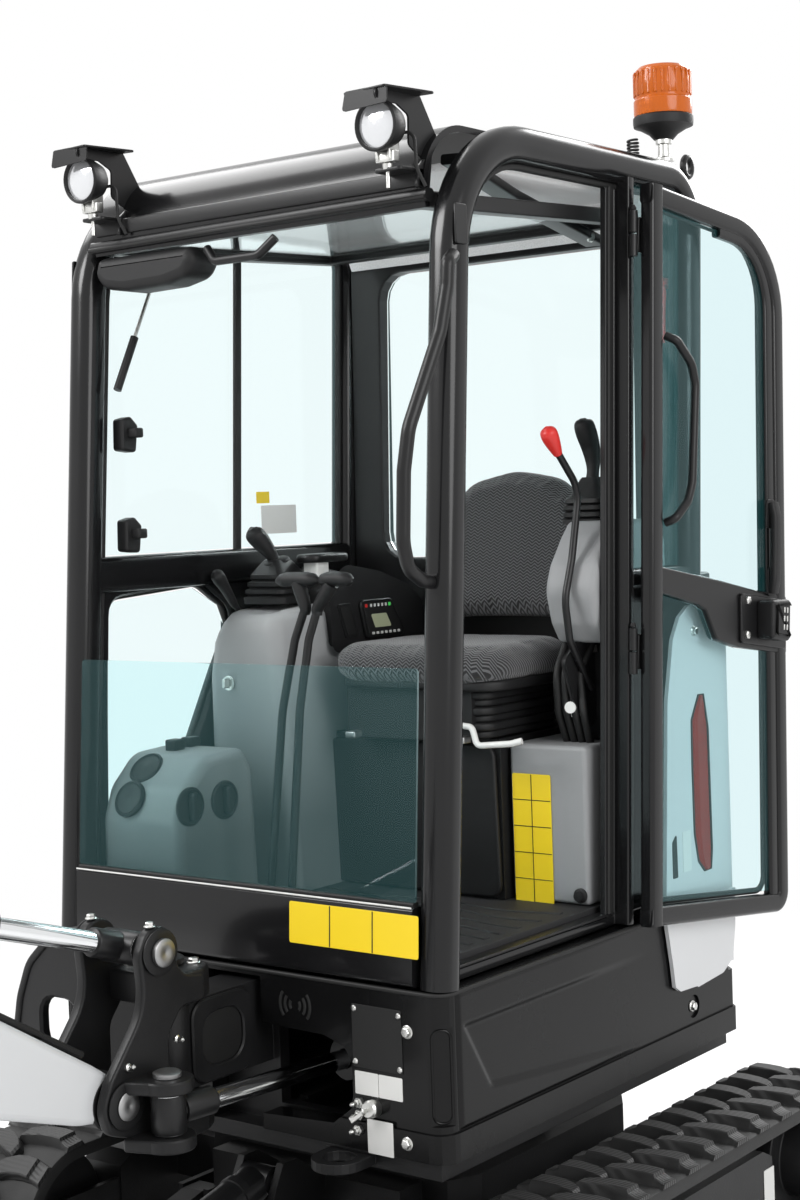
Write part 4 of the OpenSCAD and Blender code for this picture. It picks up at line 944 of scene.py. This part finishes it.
# travel levers with cross grips
levers, grips = [], []
for foot, bend, knee, neck, top, g0, g1 in (((-79, -380, 804), (-62, -336, 1210), (-45, -311, 1351),
                                             (-24, -300, 1416), (-40, -300, 1466), -97, 15),
                                            ((-24, -380, 804), (-18, -334, 1215), (-9, -311, 1352),
                                             (8, -300, 1414), (46, -300, 1462), 14, 100)):
    levers.append(sweep_data(smooth_path([foot, bend, knee, neck], [300, 60], 7), circle(8.5, 14),
                             (1, 0, 0.01)))
    grips.append(smooth_limb([tuple(np.array(neck) + (-2, 0, -14)), neck, tuple((np.array(neck) + top) / 2),
                              top], [10, 12, 14, 15]))
    bar = np.linspace(g0, g1, 9)
    arch = 1472 - 4 * np.linspace(-1, 1, 9)**2
    rr = np.array([4, 13, 14.5, 14, 14, 14, 14.5, 13, 4])
    c = circle(1, 16)
    grips.append(loft_data(np.stack([np.full((9, 16), 0.0) + bar[:, None],
                                     -300 + rr[:, None] * c[None, :, 0] * 1.15,
                                     arch[:, None] + rr[:, None] * c[None, :, 1]], -1)))
piece = joined("travel_rods", levers, SATIN, slot="black_plastic")
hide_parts("control_levers")
joined("travel_grips", grips, BLACKP, sharp=50)
joined("travel_boots",
       [lathe_data([(26, 803), (24, 812), (16, 822), (13, 838), (9, 846)], (x, -380, 0), (0.04, 0.1, 1), 24)
        for x in (-79, -24)], BLACKP)

# low pod by the front glass: vents, rotary knobs, switches
POD = soft_outline([(-500, 803), (-255, 803), (-266, 1085), (-292, 1128), (-410, 1122), (-474, 1062),
                    (-498, 1000)], [8, 8, 40, 24, 60, 60, 60], 7)
# heater pod in the grey with painted shade, darker low down
slab("heater_pod", POD, 217, 22, (-421, 0, 0), Y, Z, GREY_PAINTED_SHADE, steps=5, sharp=45)
vents = []
for y in (-462, -362):
    vents.append(lathe_data([(39, -2), (39, 2), (35, 4), (33, 1), (30, 1), (2, 3)], (-203, y, 1030), X, 40))
    vents.append(slab_data(corner_box(16, 58, 7) + (y, 1030), 15, 4, (-201, 0, 0), Y, Z))
joined("pod_knobs", vents, BLACKP)
joined("pod_top_vents",
       [lathe_data([(38, -3), (38, 3), (34, 6), (30, 3), (26, 3), (2, 6)], c, n, 36)
        for c, n in (((-345, -487, 1040), (0, -0.9, 0.44)), ((-345, -437, 1096), (0, -0.67, 0.74)))], BLACKP)
joined("pod_switches", [block_data(-356, -326, y, y + 32, 1118, 1146, 4, 5) for y in (-372, -326)], BLACKP)

# raised left console, its stick and bellows, the lock lever
LEFT = soft_outline([(77, 1323), (222, 1312), (318, 1316), (318, 1528), (284, 1566), (126, 1566), (96, 1536),
                     (52, 1480), (31, 1431), (50, 1362)], [14, 8, 8, 40, 20, 16, 30, 60, 60, 40], 6)
piece = slab("console_left", LEFT, 118, 14, (320, 0, 0), Y, Z, GREY, steps=4, sharp=45, slot="grey_plastic")
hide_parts("left_console")
joined("stick_left",
       [loft_data([box_ring(345 - s / 2, 345 + s / 2, 190 - s / 2, 190 + s / 2, s * 0.2, z)
                   for s, z in ((104, 1560), (104, 1569), (88, 1572), (102, 1575), (102, 1583), (86, 1586),
                                (100, 1589), (100, 1597), (84, 1600), (96, 1603), (94, 1611), (74, 1618),
                                (42, 1650), (34, 1655))]),
        smooth_limb([(345, 190, 1648), (345, 194, 1668), (344, 196, 1690), (342, 191, 1720), (341, 178, 1748),
                     (340, 170, 1767), (340, 168, 1775)], [14, 13, 16, 20, 22, 19, 6])], BLACKP, sharp=45)
LOCK = smooth_path([(384, 100, 1228), (384, 26, 1330), (384, 12, 1413), (384, 42, 1491), (384, 76, 1630),
                    (384, -8, 1714)], [30, 80, 120, 60, 24], 7)
sweep("lock_lever", LOCK, circle(7.5, 14), X, SATIN)
joined("lock_knob",
       [smooth_limb([(384, 4, 1700), (384, -6, 1713), (384, -20, 1731), (384, -30, 1745), (384, -35, 1752)],
                    [9, 13, 17, 16, 5])], REDKNOB, sharp=60)
joined("lock_bracket",
       [slab_data(soft_outline([(20, 1290), (60, 1320), (150, 1326), (150, 1200), (110, 1150), (60, 1190)],
                               12), 10, 3, (366, 0, 0), Y, Z),
        block_data(300, 436, 130, 300, 1120, 1316, 6, 12)], BLACKP)
joined("pilot_block",
       [lathe_data([(16, -28), (20, -26), (20, 26), (16, 28)], (356, 92, 1190), (0.2, -1, 0.1), 28),
        lathe_data([(12, -44), (12, 44)], (356, 92, 1190), (0.2, -1, 0.1), 20)], PLATE)
HOSES = [smooth_path([(330 + 16 * k, 96 + 8 * k, 1320), (340 + 12 * k, 40 + 10 * k, 1262),
                      (330 + 20 * k, 60, 1180), (330 + 18 * k, 90, 1118)], [40, 40], 8) for k in range(4)]
joined("pilot_hoses", [sweep_data(h, circle(8, 12), (1, 0.1, 0)) for h in HOSES], GASKET)
joined("pilot_fittings",
       [lathe_data([(6, 0), (10, 1), (10, 14), (7, 16), (7, 22)], (330 + 16 * k, 96 + 8 * k, 1300), Z, 6)
        for k in range(4)], ZINC)

# side box with its ruled yellow plate and bolt; pedals and mat on the floor
slab("box_plate", corner_box(92, 268, 4) + (286, 926), 1.4, 0.4, (0, 18.8, 0), X, Z, YELLOW)
joined("box_plate_lines",
       [slab_data(corner_box(90, 1.6, 0.5) + (286, 846 + 53.6 * k), 0.6, 0.2, (0, 17, 0), X, Z)
        for k in range(4)] + [slab_data(corner_box(1.6, 266, 0.5) + (286, 926), 0.6, 0.2, (0, 17, 0), X, Z)],
       GASKET)
lathe("box_bolt", [(4, 0), (15, 1), (15, 5), (11, 7), (10, 14), (3, 15)], (396, 20, 822), AHEAD, BLACKP, n=24)
joined("pedals",
       [sweep_data(smooth_path([(-30, -418, 838), (150, -420, 862), (330, -380, 858)], [200], 8),
                   circle(13, 14), Z),
        slab_data(corner_box(90, 150, 14) + (250, -400), 12, 4, (0, 0, 868), X, (0, 1, 0.3))], SATIN)
ribs = []
for k in range(7):
    across = np.linspace(-290, 400, 60)
    wave = np.stack([across, -440 + 62 * k + 14 * np.sin(across / 55 + k), np.full(60, 800.6)], -1)
    ribs.append(sweep_data(wave, corner_box(5, 15, 2), Z))
joined("mat_ribs", ribs, MAT)

# skirt: bolts, blank plates, key, nipples, seal under the cab, horn grille, dished sides


def bolt_data(place, axis, r=9.0):
    """Washer, hexagon head and the dome on it, as two turned shapes."""
    place, axis = np.asarray(place, float), unit(axis)
    return [lathe_data([(r * 0.5, 0), (r * 1.3, 0), (r * 1.35, 1.2), (r * 1.2, 2.4), (r * 0.6, 2.6)], place,
                       axis, 24),
            lathe_data([(r * 0.5, 2), (r, 2), (r, 7), (r * 0.85, 8.6), (r * 0.2, 9)], place, axis, 6)]


FRONT, LIP = -575.2, -580.2
BOLTS = [((408, FRONT, 688), AHEAD), ((404, LIP, 490), AHEAD), ((-408, FRONT, 688), AHEAD),
         ((-404, LIP, 490), AHEAD), ((481, 300, 548), X), ((-481, 300, 548), (-1, 0, 0))]
joined("skirt_bolts", sum([bolt_data(p, a) for p, a in BOLTS], []), ZINC)
slab("name_plate", corner_box(112, 114, 3) + (340, 667), 1.6, 0.5, (0, FRONT, 0), X, Z, GASKET)
joined("name_plate_rivets",
       [lathe_data([(5.5, 0), (5.5, 1.5), (4, 3.4), (0.6, 4.2)], (x, FRONT - 1.2, z), AHEAD, 16)
        for x, z in ((290, 716), (390, 714), (290, 620), (390, 618))], ZINC)
joined("white_plates", [slab_data(corner_box(53, 42, 2) + (x, 582), 1.2, 0.4, (0, FRONT, 0), X, Z)
                        for x in (313, 367)]
       + [slab_data(corner_box(58, 62, 2) + (344, 490), 1.2, 0.4, (0, LIP, 0), X, Z)], PLATE)
joined("key_switch",
       [lathe_data([(14, 0), (16, 2), (16, 22), (13, 26), (4, 26)], (330, FRONT, 541), (0.1, -1, 0.12), 28),
        slab_data(soft_outline([(-26, -4), (4, -4), (4, 4), (-14, 4), (-26, 9)], 2), 4, 1,
                  (322, FRONT - 30, 536), (0.8, 0.1, 0.6), (-0.6, 0, 0.8)),
        lathe_data([(4, 0), (4, 16), (2, 17)], (331, FRONT - 24, 543), (0.1, -1, 0.12), 14)], ZINC)
nipples = []
for y, z in ((FRONT, 546), (FRONT, 524), (LIP, 498)):
    nipples += [lathe_data([(10, 0), (10, 7), (7, 8)], (296, y, z), AHEAD, 6),
                lathe_data([(6, 7), (6, 12), (4, 14), (3.4, 20), (4.6, 23), (3, 27), (1, 28)], (296, y, z),
                           (0, -1, 0.05), 14)]
joined("grease_nipples", nipples, ZINC)


def plan_arc(cx, cy, r, a0, a1, n):
    """n points of an arc in plan from angle a0 to a1, in degrees."""
    a = np.radians(np.linspace(a0, a1, n))
    return np.stack([cx + r * np.cos(a), cy + r * np.sin(a)], -1)


SEAM = np.concatenate([plan_arc(450, -540, 33, -90, 0, 7), plan_arc(0, 0, 673, 44.1, 53, 5)])
SEAM = np.concatenate([SEAM[::-1], SEAM * (-1, 1)])
sweep("cab_mount_seal", np.column_stack([SEAM, np.full(len(SEAM), 757.5)]), corner_box(8, 10, 3), Z, GASKET)

horn = []
bow_a = np.radians(np.linspace(-38, 38, 9))
for way in (-1, 1):
    for r in (12, 24, 36):
        bow = np.stack([150 + way * r * np.cos(bow_a), np.full(9, FRONT), 703 + r * np.sin(bow_a)], -1)
        horn.append(sweep_data(bow, corner_box(3, 6, 1), Y))
joined("horn_grille", horn, GASKET)


def field_relief():
    """Skin on the skirt's side: a grid over y and z whose height falls by 4.3 mm inside the dished field.

    A slanted front edge, a rising lower edge and a level upper edge bound the field, each a smooth step of
    about 15 mm, and it fades out towards the rear.
    """
    y0, y1, z0, z1, skin, deep = -536, 158, 515, 757, 485.2, 4.3
    y, z = np.meshgrid(np.linspace(y0, y1, 190), np.linspace(z0, z1, 90), indexing="ij")

    def step(d):
        """Smooth step from 0 to 1."""
        t = np.clip(d, 0, 1)
        return t * t * (3 - 2 * t)

    front = (y - np.interp(z, [565, 702], [-443, -527])) * 0.85
    below = z - np.interp(y, [-443, 206], [565, 504])
    inside = step(front / 14) * step(below / 14) * step((704 - z) / 16)
    border = step((y - y0) / 9) * step((z - z0) / 6) * step((z1 - z) / 6)
    fade = step((150 - y) / 330)
    x = skin + deep * (1 - inside) * border * fade
    v = np.stack([x, y, z], -1).reshape(-1, 3)
    return v, grid(*y.shape, wrap_cols=False)


joined("skirt_fields", paired(field_relief()), SKIRT, sharp=60, slot="black_paint")
bead = corner_box(34, 164, 14) + (0, 613)
bead = np.array([(469.4 + 0.7071 * t, -559.4 + 0.7071 * t, h) for t, h in np.concatenate([bead, bead[:1]])])
joined("skirt_corner_beads", paired(sweep_data(bead, circle(2.4, 8), (0.7, -0.7, 0))), SKIRT)
foot = slab_data(soft_outline([(300, 768), (300, 592), (410, 600), (452, 622), (466, 690), (468, 768)],
                              [2, 2, 30, 30, 30, 2])[::-1], 8, 2.5, (488.6, 0, 0), Y, Z)
joined("wing_feet", paired(foot), WHITE, slot="white_paint")

# pad behind the lashing ring
sweep("lashing_ring_pad", [(215, -574, 458), (330, -574, 458)], corner_box(10, 10, 3), Y, CAST)

# nose that carries the post: a cast rim round a recess on each side, with a dark sheet in each recess as
# painted shade
NOSE = soft_outline([(-745, 578), (-585, 578), (-585, 732), (-745, 732)], 34, 6)
HOLLOW = soft_outline([(-718, 606), (-610, 606), (-610, 704), (-718, 704)], 38, 6)
rim = ring_data(NOSE, HOLLOW[::-1], 8, 3, (45.5, 0, 0), Y, Z)
joined("nose_rims", paired(rim), CAST)
# dark sheet in each recess: painted shade
painted_shade_sheet = slab_data(HOLLOW, 1.4, 0.4, (45.6, 0, 0), Y, Z)
joined("nose_painted_shade_sheets", paired(painted_shade_sheet), GASKET)

# swing post: cheeks, hubs, ears, flange with its window, pins; then pin heads, bolts, cap and flange rim
FOOT, POST_TOP = np.array((-949.0, 605.0)), np.array((-854.0, 850.0))
KING_Y = -760
CHEEK = soft_outline([(-985, 560), (-1000, 605), (-980, 650), (-890, 760), (-900, 850), (-880, 888),
                      (-850, 896), (-815, 880), (-805, 800), (-740, 790), (-740, 742), (-800, 742),
                      (-835, 700), (-835, 600), (-800, 560), (-740, 560), (-740, 505), (-820, 505)][::-1],
                     [60, 12, 12, 30, 40, 40, 30, 12, 12, 40, 30, 30, 30, 40, 130, 50, 50, 30], 6)
cheek = slab_data(CHEEK, 22, 5.5, (62, 0, 0), Y, Z, 4)
HUB = soft_outline([(-82, -833), (82, -833), (82, -740), (60, -700), (-60, -700), (-82, -740)],
                   [14, 14, 30, 30, 30, 30])
LUG_PLAN = soft_outline([(80, -960), (132, -940), (172, -905), (162, -865), (132, -850), (80, -850)],
                        [8, 40, 40, 30, 20, 8])
WEB = np.array([(-78, 560), (-270, 590), (-284, 640), (-266, 730), (-238, 796), (-190, 840), (-140, 862),
                (-78, 868)])
flat_plates = [slab_data(o, h, e, (0, 0, z), X, Y, 4) for o, z, h, e in (
    (HUB, 505, 60, 7), (HUB, 742, 58, 7), (LUG_PLAN, 525, 23, 5), (LUG_PLAN, 624, 23, 5))]
window = ring_data(WEB, corner_box(94, 100, 34) + (-165, 690), 24, 5, (0, -842, 0), X, Z, 160)
pins = [lathe_data([(2, -80), (17, -80), (17, 80), (2, 80)], (0, *FOOT), X, 28),
        lathe_data([(4, 505), (32, 505), (32, 800), (4, 800)], (0, KING_Y, 0), Z, 36)]
shell = joined("post_shell", paired(cheek) + [window] + flat_plates + pins, CAST, "post", sharp=30)
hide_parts("swing_post")
joined("post_ears",
       [lathe_data([(20, 0), (44, 1), (46, 4), (46, h - 4), (44, h - 1), (20, h)], (132, -893, z), Z, 40)
        for z, h in ((524, 25), (623, 25))], CAST, "post")


def pin_head(h, place, axis):
    """Turned head of height h with a rounded rim and a shallow dish."""
    return lathe_data([(6, 0), (22, 0), (25, 2), (25, h - 2.5), (21, h - 0.5), (12, h), (2, h - 2)], place,
                      axis, 32)


heads = [pin_head(h, (s * 91.5, *pin), (s, 0, 0)) for h, pin in ((5.5, FOOT), (11.5, POST_TOP))
         for s in (1, -1)]
joined("post_pin_heads", heads + [pin_head(11.5, (132, -893, 647), Z)], STEEL, "post")
joined("post_pin_rims",
       [lathe_data([(24, 0), (38, 0.5), (41, 4), (41, 6), (36, 8), (24, 8)], (s * 84, *pin), (s, 0, 0), 36)
        for pin in (FOOT, POST_TOP) for s in (1, -1)], CAST, "post")
POST_BOLTS = [((52, -790, 800), 10), ((-52, -790, 800), 10), ((40, -722, 800), 10), ((-40, -722, 800), 10),
              ((73, -862, 894.5), 8), ((-73, -862, 894.5), 8)]
joined("post_bolts", sum([bolt_data(place, Z, r) for place, r in POST_BOLTS], []), ZINC, "post")
lathe("post_king_cap", [(8, 0), (34, 0), (38, 3), (38, 12), (33, 15), (14, 16), (10, 12), (1, 12)],
      (0, KING_Y, 800), Z, CAST, "post", 40)
FLANGE = smooth_path([(-84, 560), (-272, 592), (-284, 640), (-266, 730), (-238, 796), (-190, 840),
                      (-140, 862), (-88, 868)], [40, 80, 120, 80, 80, 60], 6)
sweep("post_flange_rim", np.column_stack([FLANGE[:, 0], np.full(len(FLANGE), -854.0), FLANGE[:, 1]]),
      corner_box(34, 16, 6), Y, CAST, "post")
joined("post_nipples", [lathe_data([(7, 0), (7, 5), (4, 7), (3, 14), (4, 17), (1.5, 20)], c, a, 14)
                        for c, a in (((84, -940, 668), (1, 0, 0.2)), ((84, -820, 690), X))], ZINC, "post")

# cylinders: painted eyes, glands and end bands over the bright rods


def ram_trim(name, base, eye, length, r, half, tube, rod_body, rod_r, collar=84):
    """Band and gland on the tube, and a dark eye with its collar at the rod's end.

    base and eye are (y, z); length and r are the tube's, half is the eye's half width.
    """
    p, q = np.array((0.0, *base)), np.array((0.0, *eye))
    d = unit(q - p)
    joined(f"{name}_gland",
           [lathe_data([(rod_r + 0.6, length - 42), (r + 5, length - 41), (r + 6, length - 37),
                        (r + 6, length + 6), (r + 3, length + 12), (rod_r + 6, length + 16),
                        (rod_r + 0.6, length + 17)], p, d, 40),
            lathe_data([(r - 2, 60), (r + 3, 62), (r + 3, 78), (r - 2, 80)], p, d, 40)], SATIN, tube)
    joined(f"{name}_rod_eye",
           [lathe_data([(16, -half), (29.5, -half), (30.4, -half + 2), (30.4, half - 2), (29.5, half),
                        (16, half)], q, X, 40),
            lathe_data([(rod_r + 0.4, -collar), (rod_r + 5, 2 - collar), (rod_r + 7, 6 - collar),
                        (rod_r + 7, -22)], q, d, 32)], SATIN, rod_body)


BOOM_A, UPPER_A, ARM_A = math.radians(23), math.radians(-15), math.radians(-21)


def turned(origin, angle, u, v):
    """Side view point (y, z) at u along and v above a line that leaves origin at the angle."""
    c, s = math.cos(angle), math.sin(angle)
    return np.array([origin[0] - u * c + v * s, origin[1] + u * s + v * c])


BEND = turned(FOOT, BOOM_A, 850, 0)
TIP = turned(BEND, UPPER_A, 980, 0)
BOOM_CYL = turned(FOOT, math.radians(35), 850, 0)
ARM_CYL, ARM_LUG = turned(BEND, UPPER_A, 0, 190), turned(TIP, UPPER_A, -164, 115)
ROCK = turned(TIP, ARM_A, 810, 35)
LINK_C = turned(TIP, ARM_A, 958, 150)
BUCKET_CYL = turned(TIP, ARM_A, 140, 172)
ram_trim("boom", BOOM_CYL, POST_TOP, 480, 42, 45.6, "boom_ram", "boom_ram_rod", 19)
ram_trim("arm", ARM_CYL, ARM_LUG, 560, 41, 45.6, "arm_ram", "arm_ram_rod", 18)
ram_trim("bucket", BUCKET_CYL, LINK_C, 450, 36, 18.6, "bucket_ram", "bucket_ram_rod", 17, 33)
ram_trim("blade", (-523.0, 339.0), (-1040.0, 225.0), 262, 36, 30, "blade_ram", "blade_ram_rod", 18)
SWING_EYE = (132, -893, 586)
joined("swing_rod_eye",
       [lathe_data([(15.6, -33.6), (29.8, -33.6), (30.6, -32), (30.6, 32), (29.8, 33.6), (15.6, 33.6)],
                   SWING_EYE, Z, 40),
        lathe_data([(18.4, 26), (24, 27), (25, 32), (25, 92), (22, 96), (18.4, 97)], SWING_EYE, (104, 793, 0),
                   32)], SATIN, "swing_ram_rod")


def side_pins(name, spots, mat, body):
    """A turned pin head on both sides of the machine for each (y, z, x) spot."""
    parts = []
    for (y, z), x in spots:
        parts += [lathe_data([(4, 0), (19, 0), (21, 2), (21, 7), (18, 9), (9, 9.4), (1, 8)], (s * x, y, z),
                             (s, 0, 0), 28) for s in (1, -1)]
    joined(name, parts, mat, body)


def lower(u, v):
    """Point at u along and v above the boom's lower line."""
    return turned(FOOT, BOOM_A, u, v)


def upper(u, v):
    """Point at u along and v above the boom's upper line."""
    return turned(BEND, UPPER_A, u, v)


BOOM = soft_outline([lower(-42, -24), lower(-42, 30), lower(60, 52), lower(300, 90), lower(760, 105),
                     lower(850, 108), upper(120, 95), upper(900, 55), upper(1018, 36), upper(1018, -36),
                     upper(880, -55), upper(100, -105), lower(760, -105), lower(300, -70), lower(60, -50)],
                    [26, 26, 120, 200, 60, 60, 60, 90, 36, 36, 90, 80, 60, 200, 120], 6)
EAR = soft_outline([lower(640, 90), lower(790, 210), lower(850, 225), lower(900, 190), upper(-10, 235),
                    upper(20, 235), upper(45, 190), upper(90, 90)], [4, 50, 30, 30, 20, 24, 30, 4], 5)
piece = joined("boom_shell", [slab_data(BOOM, 112, 13, (-56, 0, 0), Y, Z, 4),
                              slab_data(EAR, 13, 3, (47, 0, 0), Y, Z),
                              slab_data(EAR, 13, 3, (-60, 0, 0), Y, Z)], WHITE, "boom", sharp=40,
               slot="white_paint")
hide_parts("boom")
side_pins("boom_pin_heads", [(BOOM_CYL, 60), (ARM_CYL, 60)], STEEL, "boom")
side_pins("arm_pin_heads", [(TIP, 90.5), (ARM_LUG, 81), (BUCKET_CYL, 56), (ROCK, 83.5)], STEEL, "arm")
lathe("boom_foot_boss", [(20, -57.4), (47, -57.4), (50, -54), (50, 54), (47, 57.4), (20, 57.4)], (0, *FOOT),
      X, CAST, "boom", 40)
LINE = [lower(70, 66), lower(300, 99), lower(760, 114), upper(120, 105), upper(700, 73), upper(860, 66)]
for k, x in enumerate((-24, -8, 8, 24)):
    path = np.array([(x, *p) for p in LINE])
    sweep(f"boom_line_{k}", smooth_path(path, [300, 120, 120, 400], 6), circle(6, 10), X, GASKET, "boom")
joined("boom_line_clamps",
       [slab_data(corner_box(74, 20, 5), 26, 3, (0, *lower(u, v)), X,
                  (0, -math.cos(BOOM_A), math.sin(BOOM_A))) for u, v in ((180, 74), (520, 94))], SATIN,
       "boom")

# tracks: belt with rounded shoulders and two staggered rows of bent lugs
TRACK_IN, TRACK_OUT = 450.0, 680.0
BELT_R, SPAN, MID_Z = 158.0, 1120.0, 180.0
LUGS = 34
LOOP = 2 * SPAN + 2 * math.pi * BELT_R


def on_loop(s, h, x):
    """Point of the track at s along the loop, h outside the belt's face and x across the machine."""
    s = np.mod(s, LOOP)
    q = math.pi * BELT_R
    r = BELT_R + h
    top, rear, bottom = s < SPAN, s < SPAN + q, s < 2 * SPAN + q
    front = math.pi + (s - 2 * SPAN - q) / BELT_R
    a = np.where(top, 0.0, np.where(rear, (s - SPAN) / BELT_R, np.where(bottom, math.pi, front)))
    y0 = np.where(bottom, SPAN / 2 - (s - SPAN - q), -SPAN / 2)
    y0 = np.where(top, -SPAN / 2 + s, np.where(rear, SPAN / 2, y0))
    return np.stack(np.broadcast_arrays(x, y0 + r * np.sin(a), MID_Z + r * np.cos(a)), -1)


def track(side):
    """Belt and two staggered rows of lugs.

    A lug is a six point section carried across half the belt, bent along the loop like a banana.
    """
    s = np.linspace(0, LOOP, 220, endpoint=False)
    section = np.array([(0, -26), (0, -7), (3, -2), (9, 0), (221, 0), (227, -2), (230, -7), (230, -26)],
                       float)
    belt = on_loop(s[:, None], section[None, :, 1], (TRACK_IN + section[:, 0])[None, :])
    parts = [(belt.reshape(-1, 3), grid(len(s), len(section), wrap_rows=True))]
    pitch = LOOP / LUGS
    across = np.array([0, 10, 24, 27, 52, 82, 106, 124, 130]) / 130
    bend = 17 * np.sin(across * 1.9) - 34 * across**2.2
    wide = np.interp(across, [0, 0.2, 0.5, 0.85, 1], [19, 19, 20, 17, 11])
    tall = np.interp(across, [0, 0.17, 0.21, 0.95, 1], [8, 10, 22, 22, 17])
    shape = np.array([(-1.32, -0.08), (-1.02, 0.9), (-0.9, 1), (0.9, 1), (1.02, 0.9), (1.32, -0.08)])
    n = np.arange(LUGS)[:, None, None]
    points = len(across) * len(shape)
    for edge, way, phase in ((TRACK_OUT, -1, 0.0), (TRACK_IN, 1, 0.5)):
        pos = (n + phase + 0.3) * pitch + bend[None, :, None] + wide[None, :, None] * shape[None, None, :, 0]
        high = np.broadcast_to(tall[None, :, None] * shape[None, None, :, 1], pos.shape)
        x = np.broadcast_to((edge + way * across * 130)[None, :, None], pos.shape)
        lugs = on_loop(pos, high, x)
        one = tube_faces(len(across), len(shape))
        if way < 0:
            one = [f[::-1] for f in one]
        # quads are filled up to six indices, so that one array shifts all faces
        one = np.array([f + f[-1:] * (len(shape) - len(f)) for f in one])
        faces = [list(dict.fromkeys(f)) for f in (one[None] + n * points).reshape(-1, len(shape)).tolist()]
        parts.append((lugs.reshape(-1, 3), faces))
    if side < 0:
        parts = [mirror_data(v, f) for v, f in parts]
    return parts


for side, word in ((1, "left"), (-1, "right")):
    belt, *rows = track(side)
    band = joined(f"track_belt_{word}", [belt], RUBBER, "undercarriage", slot="rubber")
    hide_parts(f"track_{word}")
    # lugs in the lighter rubber: painted highlight
    joined(f"track_lugs_{word}", rows, LUG_PAINTED_HIGHLIGHT, "undercarriage", sharp=24, slot="rubber")
slab("frame_plate", corner_box(44, 74, 3) + (352, 178), 1.4, 0.4, (620.2, 0, 0), Y, Z, PLATE, "undercarriage")

# fender wings: tail lamp with a ridge along its lens and a dark rim, bolt, blank plates
WING_X = 497
LEFT_Z, LEFT_Y = [829, 852, 910, 1050, 1147, 1196], [337, 313, 299, 297, 299, 330]
RIGHT_Z, RIGHT_Y = [829, 870, 1125, 1196], [365, 371, 367, 351]


def tail_lens():
    """Rows up the lens between its two edge lines, five points across, raised to a ridge between."""
    z = np.linspace(829.5, 1195.5, 40)
    a, b = np.interp(z, LEFT_Z, LEFT_Y), np.interp(z, RIGHT_Z, RIGHT_Y)
    y = np.stack([a, a + 0.08 * (b - a), a + 0.3 * (b - a), b - 0.08 * (b - a), b], -1)
    x = np.broadcast_to(np.array([492.5, 498.2, 501.0, 497.6, 492.5]), y.shape)
    v = np.stack([x, y, np.broadcast_to(z[:, None], y.shape)], -1).reshape(-1, 3)
    return v, tube_faces(*y.shape)


lens = joined("tail_lenses", paired(tail_lens()), RED, sharp=12, slot="red_lens")
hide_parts("tail_lights")
edge = np.array(list(zip(LEFT_Y, LEFT_Z)) + list(zip(RIGHT_Y, RIGHT_Z))[::-1], float)
rim = sweep_data(np.column_stack([np.full(len(edge) + 1, 497.2), np.concatenate([edge, edge[:1]])]),
                 corner_box(3, 6, 1), X)
joined("tail_lamp_rims", paired(rim), GASKET)
wing = bolt_data((WING_X, 318, 1330), X, 8)
joined("wing_bolts", wing + [mirror_data(*w) for w in wing], ZINC)
slot_plate = slab_data(soft_outline([(206, 832), (226, 832), (224, 922), (206, 906)], 3), 1.2, 0.4,
                       (WING_X, 0, 0), Y, Z)
joined("wing_slots", paired(slot_plate), GASKET)
blank = slab_data(corner_box(34, 84, 2) + (266, 880), 0.8, 0.3, (WING_X, 0, 0), Y, Z)
joined("wing_plates", paired(blank), PLATE)

# inside the front opening: gas strut, wiper case, handle, latches; pillar brackets, blank charts, hammer
sweep("gas_strut_rod", [(-395, -321, 2074), (-395, -385, 1948)], circle(4, 12), X, ZINC)
sweep("gas_strut_tube", [(-395, -372, 1974), (-395, -427, 1865)], circle(8.5, 14), X, SATIN)
WIPER = soft_outline([(-416, 2094), (-392, 2066), (-330, 2056), (-220, 2058), (-160, 2070), (-139, 2100),
                      (-150, 2128), (-404, 2128)], [24, 40, 60, 60, 40, 24, 16, 16], 5)
slab("wiper_case", WIPER, 88, 20, (0, -376, 0), X, Z, BLACKP, steps=5, sharp=45)
sweep("window_handle",
      smooth_path([(-120, -440, 2120), (-92, -450, 2092), (20, -450, 2092), (56, -440, 2122)], [20, 20], 6),
      circle(9, 12), (0, 1, 0.2), SATIN)
joined("window_latches",
       [slab_data(soft_outline([(-420, z - 30), (-380, z - 34), (-372, z + 22), (-392, z + 40),
                                (-418, z + 34)], 8), 30, 5, (-424, 0, 0), Y, Z) for z in (1772, 1566)]
       + [block_data(-414, -372, -404, -378, z - 4, z + 16, 4, 6) for z in (1772, 1566)], BLACKP)
joined("pillar_brackets", [slab_data(corner_box(40, 74, 4), 5, 1.5, (-489, -432, 2096), Y, (0.08, 0, 1)),
                           slab_data(corner_box(34, 70, 4), 5, 1.5, (488, -448, 2097), Y, Z)], SATIN)
slab("side_chart", corner_box(120, 64, 2) + (120, 1590), 1, 0.3, (-451, 0, 0), Y, Z, PLATE)
slab("side_mark", corner_box(44, 26, 2) + (66, 1640), 1, 0.3, (-449.6, 0, 0), Y, Z, YELLOW)
joined("hammer",
       [lathe_data([(7, -60), (9, -40), (8, 0), (10, 44), (7, 60)], (424, 350, 1990), (0, 0.06, 1), 16),
        lathe_data([(5, -34), (11, -32), (11, 32), (3, 40)], (424, 350, 2056), Y, 16)], REDKNOB)
